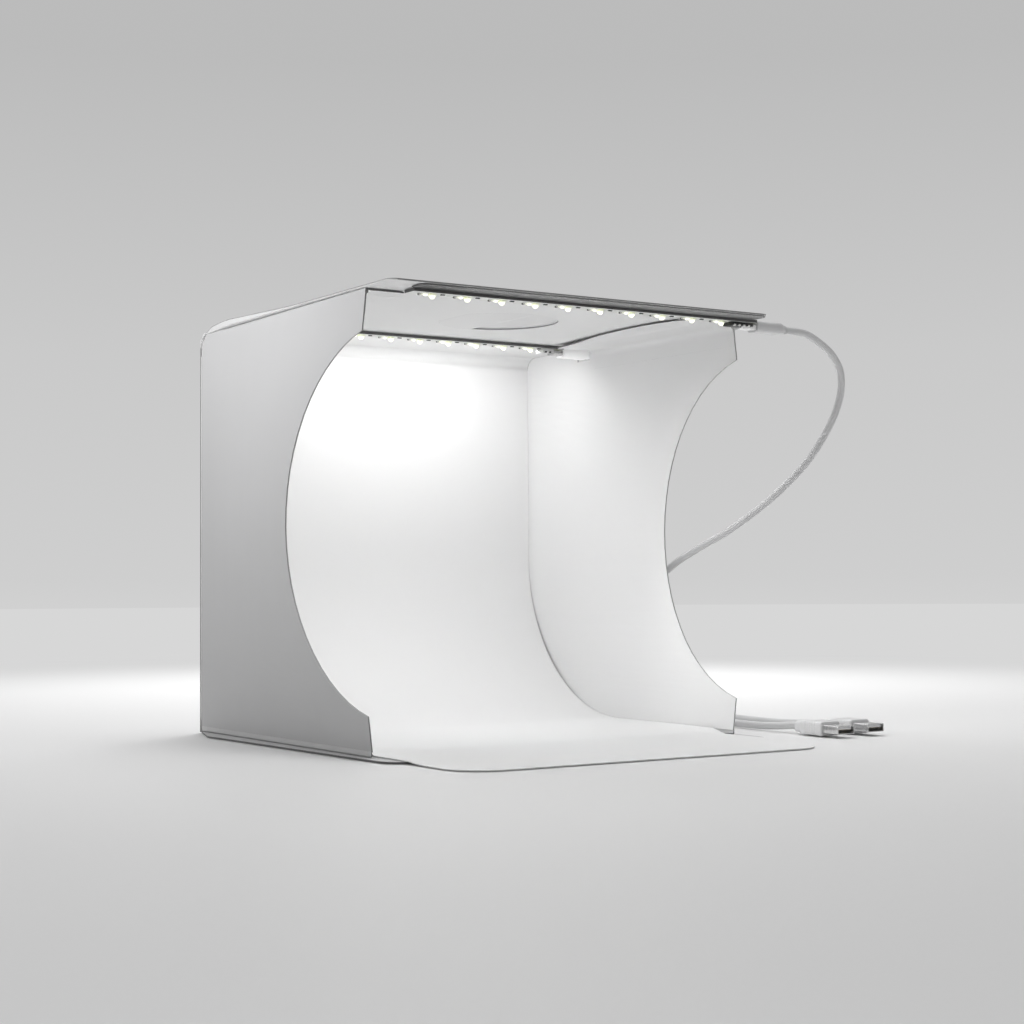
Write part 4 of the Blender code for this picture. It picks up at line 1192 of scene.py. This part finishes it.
usbPlastic = plainPaint(
    "usbPlastic", usbLook["colour"], (0.36, 0.44), grain=(3800, 2.0), dent=(0.3, 0.00001),
)
contactGold = metalPaint("contactGold", (0.83, 0.62, 0.30), 0.25)
for name in headers:
    makeUsb(name, usbLook)
print("sockets and plugs made")

# each lead's route from its micro plug to its USB plug
leads = {
    "front": [
        (0.1610, -0.0696, 0.2246), (0.1749, -0.0661, 0.2208), (0.1890, -0.0620, 0.2145),
        (0.1995, -0.0575, 0.2045), (0.2038, -0.0511, 0.1907), (0.2006, -0.0441, 0.1735),
        (0.1904, -0.0351, 0.1531), (0.1736, -0.0231, 0.1327), (0.1564, -0.0071, 0.1153),
        (0.1434, 0.0049, 0.1050), (0.1325, 0.0180, 0.0940), (0.1275, 0.0340, 0.0790),
        (0.1275, 0.0520, 0.0590), (0.1310, 0.0690, 0.0360), (0.1370, 0.0820, 0.0160),
        (0.1460, 0.0900, 0.0050), (0.1570, 0.0920, 0.0024), (0.1670, 0.0860, 0.0024),
        (0.1710, 0.0740, 0.0024), (0.1690, 0.0560, 0.0024), (0.1640, 0.0360, 0.0024),
        (0.1590, 0.0140, 0.0024), (0.1565, -0.0100, 0.0024), (0.1555, -0.0330, 0.0024),
        (0.1558, -0.0500, 0.0032),
    ],
    "rear": [
        (0.1317, 0.0801, 0.2236), (0.1357, 0.0806, 0.2187), (0.1371, 0.0816, 0.2100),
        (0.1366, 0.0836, 0.1890), (0.1345, 0.0865, 0.1590), (0.1318, 0.0895, 0.1250),
        (0.1305, 0.0935, 0.0900), (0.1312, 0.0990, 0.0560), (0.1345, 0.1060, 0.0270),
        (0.1420, 0.1110, 0.0094), (0.1530, 0.1150, 0.0031), (0.1680, 0.1155, 0.0024),
        (0.1830, 0.1105, 0.0024), (0.1920, 0.0980, 0.0024), (0.1940, 0.0800, 0.0024),
        (0.1900, 0.0560, 0.0024), (0.1850, 0.0300, 0.0024), (0.1815, 0.0050, 0.0024),
        (0.1800, -0.0200, 0.0024), (0.1798, -0.0420, 0.0032),
    ],
}


def smoothLine(points, step):
    # the Catmull-Rom curve between the second point and the last but one, with its points
    # an even step apart along its length
    p = np.array(points, float)
    t = np.linspace(0, 1, 24, endpoint=False)[None, :, None]
    a, b, c, d = (p[i:len(p) - 3 + i, None, :] for i in range(4))
    fine = 0.5 * (2 * b + (c - a) * t + (2 * a - 5 * b + 4 * c - d) * t**2 + (3 * b - a - 3 * c + d) * t**3)
    fine = np.vstack([fine.reshape(-1, 3), p[-2]])
    along = np.concatenate([[0], np.cumsum(np.linalg.norm(np.diff(fine, axis=0), axis=1))])
    at = np.linspace(0, along[-1], max(2, round(along[-1] / step)) + 1)
    return np.column_stack([np.interp(at, along, fine[:, k]) for k in range(3)])


def tube(line, radius, sides):
    # rings square to a line: each ring's first spoke is the last one's, laid square again
    line = np.asarray(line, float)
    ahead = np.gradient(line, axis=0)
    ahead /= np.linalg.norm(ahead, axis=1)[:, None]
    spoke = np.cross(ahead[0], (0.3, 0.5, 0.8))
    spokes = []
    for direction in ahead:
        spoke = spoke - direction * (spoke @ direction)
        spoke = spoke / np.linalg.norm(spoke)
        spokes.append(spoke)
    spokes = np.array(spokes)
    across = np.cross(ahead, spokes)
    turn = np.linspace(0, 2 * math.pi, sides, endpoint=False)[None, :, None]
    return line[:, None] + radius * (spokes[:, None] * np.cos(turn) + across[:, None] * np.sin(turn))


def makeLead(name, route, look, material):
    # a tube along the smooth line through the route, which leaves its micro plug square and
    # meets its USB plug square
    start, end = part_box(name + "_plug_collar"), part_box(name + "_usb_overmould")
    first = np.array([
        start[1].x + look["gap"], (start[0].y + start[1].y) / 2, (start[0].z + start[1].z) / 2,
    ])
    last = np.array([
        (end[0].x + end[1].x) / 2, end[1].y + look["gap"], (end[0].z + end[1].z) / 2,
    ])
    straight = look["straight"]
    route = [first, first + (straight, 0, 0), *route, last + (0, straight, 0), last]
    line = np.vstack([first, smoothLine(route, look["step"]), last])
    points = tube(line, look["diameter"] / 2, look["sides"])
    faces = ringFaces(len(line), look["sides"])
    piece = meshPiece(name + "LeadTube", (points, faces), [material], 50)
    length = float(np.linalg.norm(np.diff(line, axis=0), axis=1).sum())
    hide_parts(name + "_lead")
    [name + word for word in look["pieces"]]
    start, end = (Vector((first[0], first[1], look[key])) for key in ("lower", "upper"))
    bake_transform(piece)
    print(name + "LeadTube length", round(length, 4))


# smooth extruded jacket: a faint cloud in its tone and its gloss, and a very fine skin
jacket = plainPaint(
    "leadJacket", leadLook["colour"], (0.24, 0.36), (70, 2.0), 0.96, (900, 1.0), (0.06, 0.00001),
)
for name, route in leads.items():
    makeLead(name, route, leadLook, jacket)

stageLook = {
    "floor": (0.80, 0.80, 0.80),
    "near": 0.55,    # metres from the part where the floor starts to fade into what is behind
    "far": 1.15,
    "sky": (         # what shows behind, by the upward part of the line of sight
        (0.00, (0.68, 0.68, 0.68)), (0.14, (0.62, 0.62, 0.62)),
        (0.45, (0.59, 0.59, 0.59)), (0.85, (0.50, 0.50, 0.50)),
    ),
    "skyFrom": -0.05,
    "skyTo": 0.33,
}


def makeStage(look):
    # a round floor of four rings, which fades with distance into what is behind it
    turn = np.linspace(0, 2 * math.pi, 96, endpoint=False)
    reach = np.array([0.25, 1.0, 2.0, 6.0])
    rings = np.stack([np.cos(turn), np.sin(turn), np.zeros_like(turn)], -1)
    points = (rings[None] * reach[:, None, None]).reshape(-1, 3) - (0, 0, 0.0004)
    faces = ringFaces(len(reach), len(turn), False) + [list(range(len(turn)))]
    paint = Paint("floorPaint", look["floor"], 0.5)
    floor = meshPiece("floor", (points, faces), [paint.material], 0)
    where = paint.place()
    paint.feed("Roughness", 0.45 + paint.noise(where, 3, 2.0) * 0.1)
    far = paint.fade(paint.length(where), look["near"], look["far"])
    glow = paint.node("ShaderNodeEmission", sockets={0: (*look["sky"][0][1], 1), 1: 1.0})
    shader = Value(paint, paint.shader.outputs[0])
    both = paint.node("ShaderNodeMixShader", sockets={0: far * showing(paint), 1: shader, 2: glow})
    paint.tree.links.new(both.socket, paint.tree.nodes["Material Output"].inputs[0])


def showing(paint):
    # 1 for what the camera, gloss or glass sees, 0 for the light that falls on things
    words = ("Camera", "Glossy", "Transmission")
    rays = [paint.node("ShaderNodeLightPath", output="Is %s Ray" % word) for word in words]
    return (rays[0] + rays[1] + rays[2]).atMost(1.0)


class Sky(Paint):
    # the world's own nodes, joined in the same way as a material's
    def __init__(self, name):
        self.world = bpy.data.worlds.new(name)
        self.world.use_nodes = True
        self.tree = self.world.node_tree
        self.tree.nodes.clear()


def makeWorld(strength, look):
    # an even white light of some strength, and a ramp of greys for what shows behind
    sky = Sky("studio")
    bpy.context.scene.world = sky.world
    upward = sky.axes("Generated")[2]
    level = (upward - look["skyFrom"]) / (look["skyTo"] - look["skyFrom"])
    shade = sky.node("ShaderNodeValToRGB", {"stops": look["sky"]}, {0: level})
    shown = sky.node("ShaderNodeBackground", sockets={0: shade, 1: 1.0})
    plain = sky.node("ShaderNodeBackground", sockets={0: (1, 1, 1, 1), 1: strength})
    both = sky.node("ShaderNodeMixShader", sockets={0: showing(sky), 1: plain, 2: shown})
    end = sky.tree.nodes.new("ShaderNodeOutputWorld")
    sky.tree.links.new(both.socket, end.inputs[0])


def makeLamp(name, place, aim, size, power, body=None, spread=180):
    # a rectangle of light in watts, turned from its place to its aim; a body carries it along
    light = bpy.data.lights.new(name, "AREA")
    light.shape = "RECTANGLE"
    light.size, light.size_y = size
    light.energy = power
    light.spread = math.radians(spread)
    lamp = bpy.data.objects.new(name, light)
    bpy.context.scene.collection.objects.link(lamp)
    lamp.location = place
    lamp.rotation_euler = (Vector(aim) - Vector(place)).to_track_quat("-Z", "Y").to_euler()
    if body:
        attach(lamp, body)


makeStage(stageLook)
makeWorld(0.40, stageLook)
makeLamp("overhead", (0.05, 0.30, 1.30), (0, 0.0, 0), (0.9, 0.9), 9)
makeLamp("floorWash", (0.40, 0.62, 0.80), (0.40, 0.62, 0), (0.5, 0.5), 2.6, spread=110)
makeLamp("leftKey", (-0.76, 0.06, 0.34), (-0.12, 0.06, 0.32), (0.20, 0.20), 0.41, spread=50)
makeLamp("stageBounce", (0.0, 0.010, 0.015), (0.0, 0.010, 0.30), (0.150, 0.110), 0.022, "base")
makeLamp("innerGlow", (0.0, 0.010, 0.223), (0.0, 0.000, 0), (0.160, 0.050), 0.020, "lid", 90)
makeLamp("frontBoardGlow", (-0.015, -0.0701, 0.2250), (-0.010, 0.000, 0), (0.150, 0.008), 0.092, "lid", 140)
makeLamp("rearBoardGlow", (0.008, 0.0799, 0.2250), (0.008, 0.150, 0.080), (0.150, 0.008), 0.097, "lid")

scene = bpy.context.scene
scene.view_settings.view_transform = "Standard"
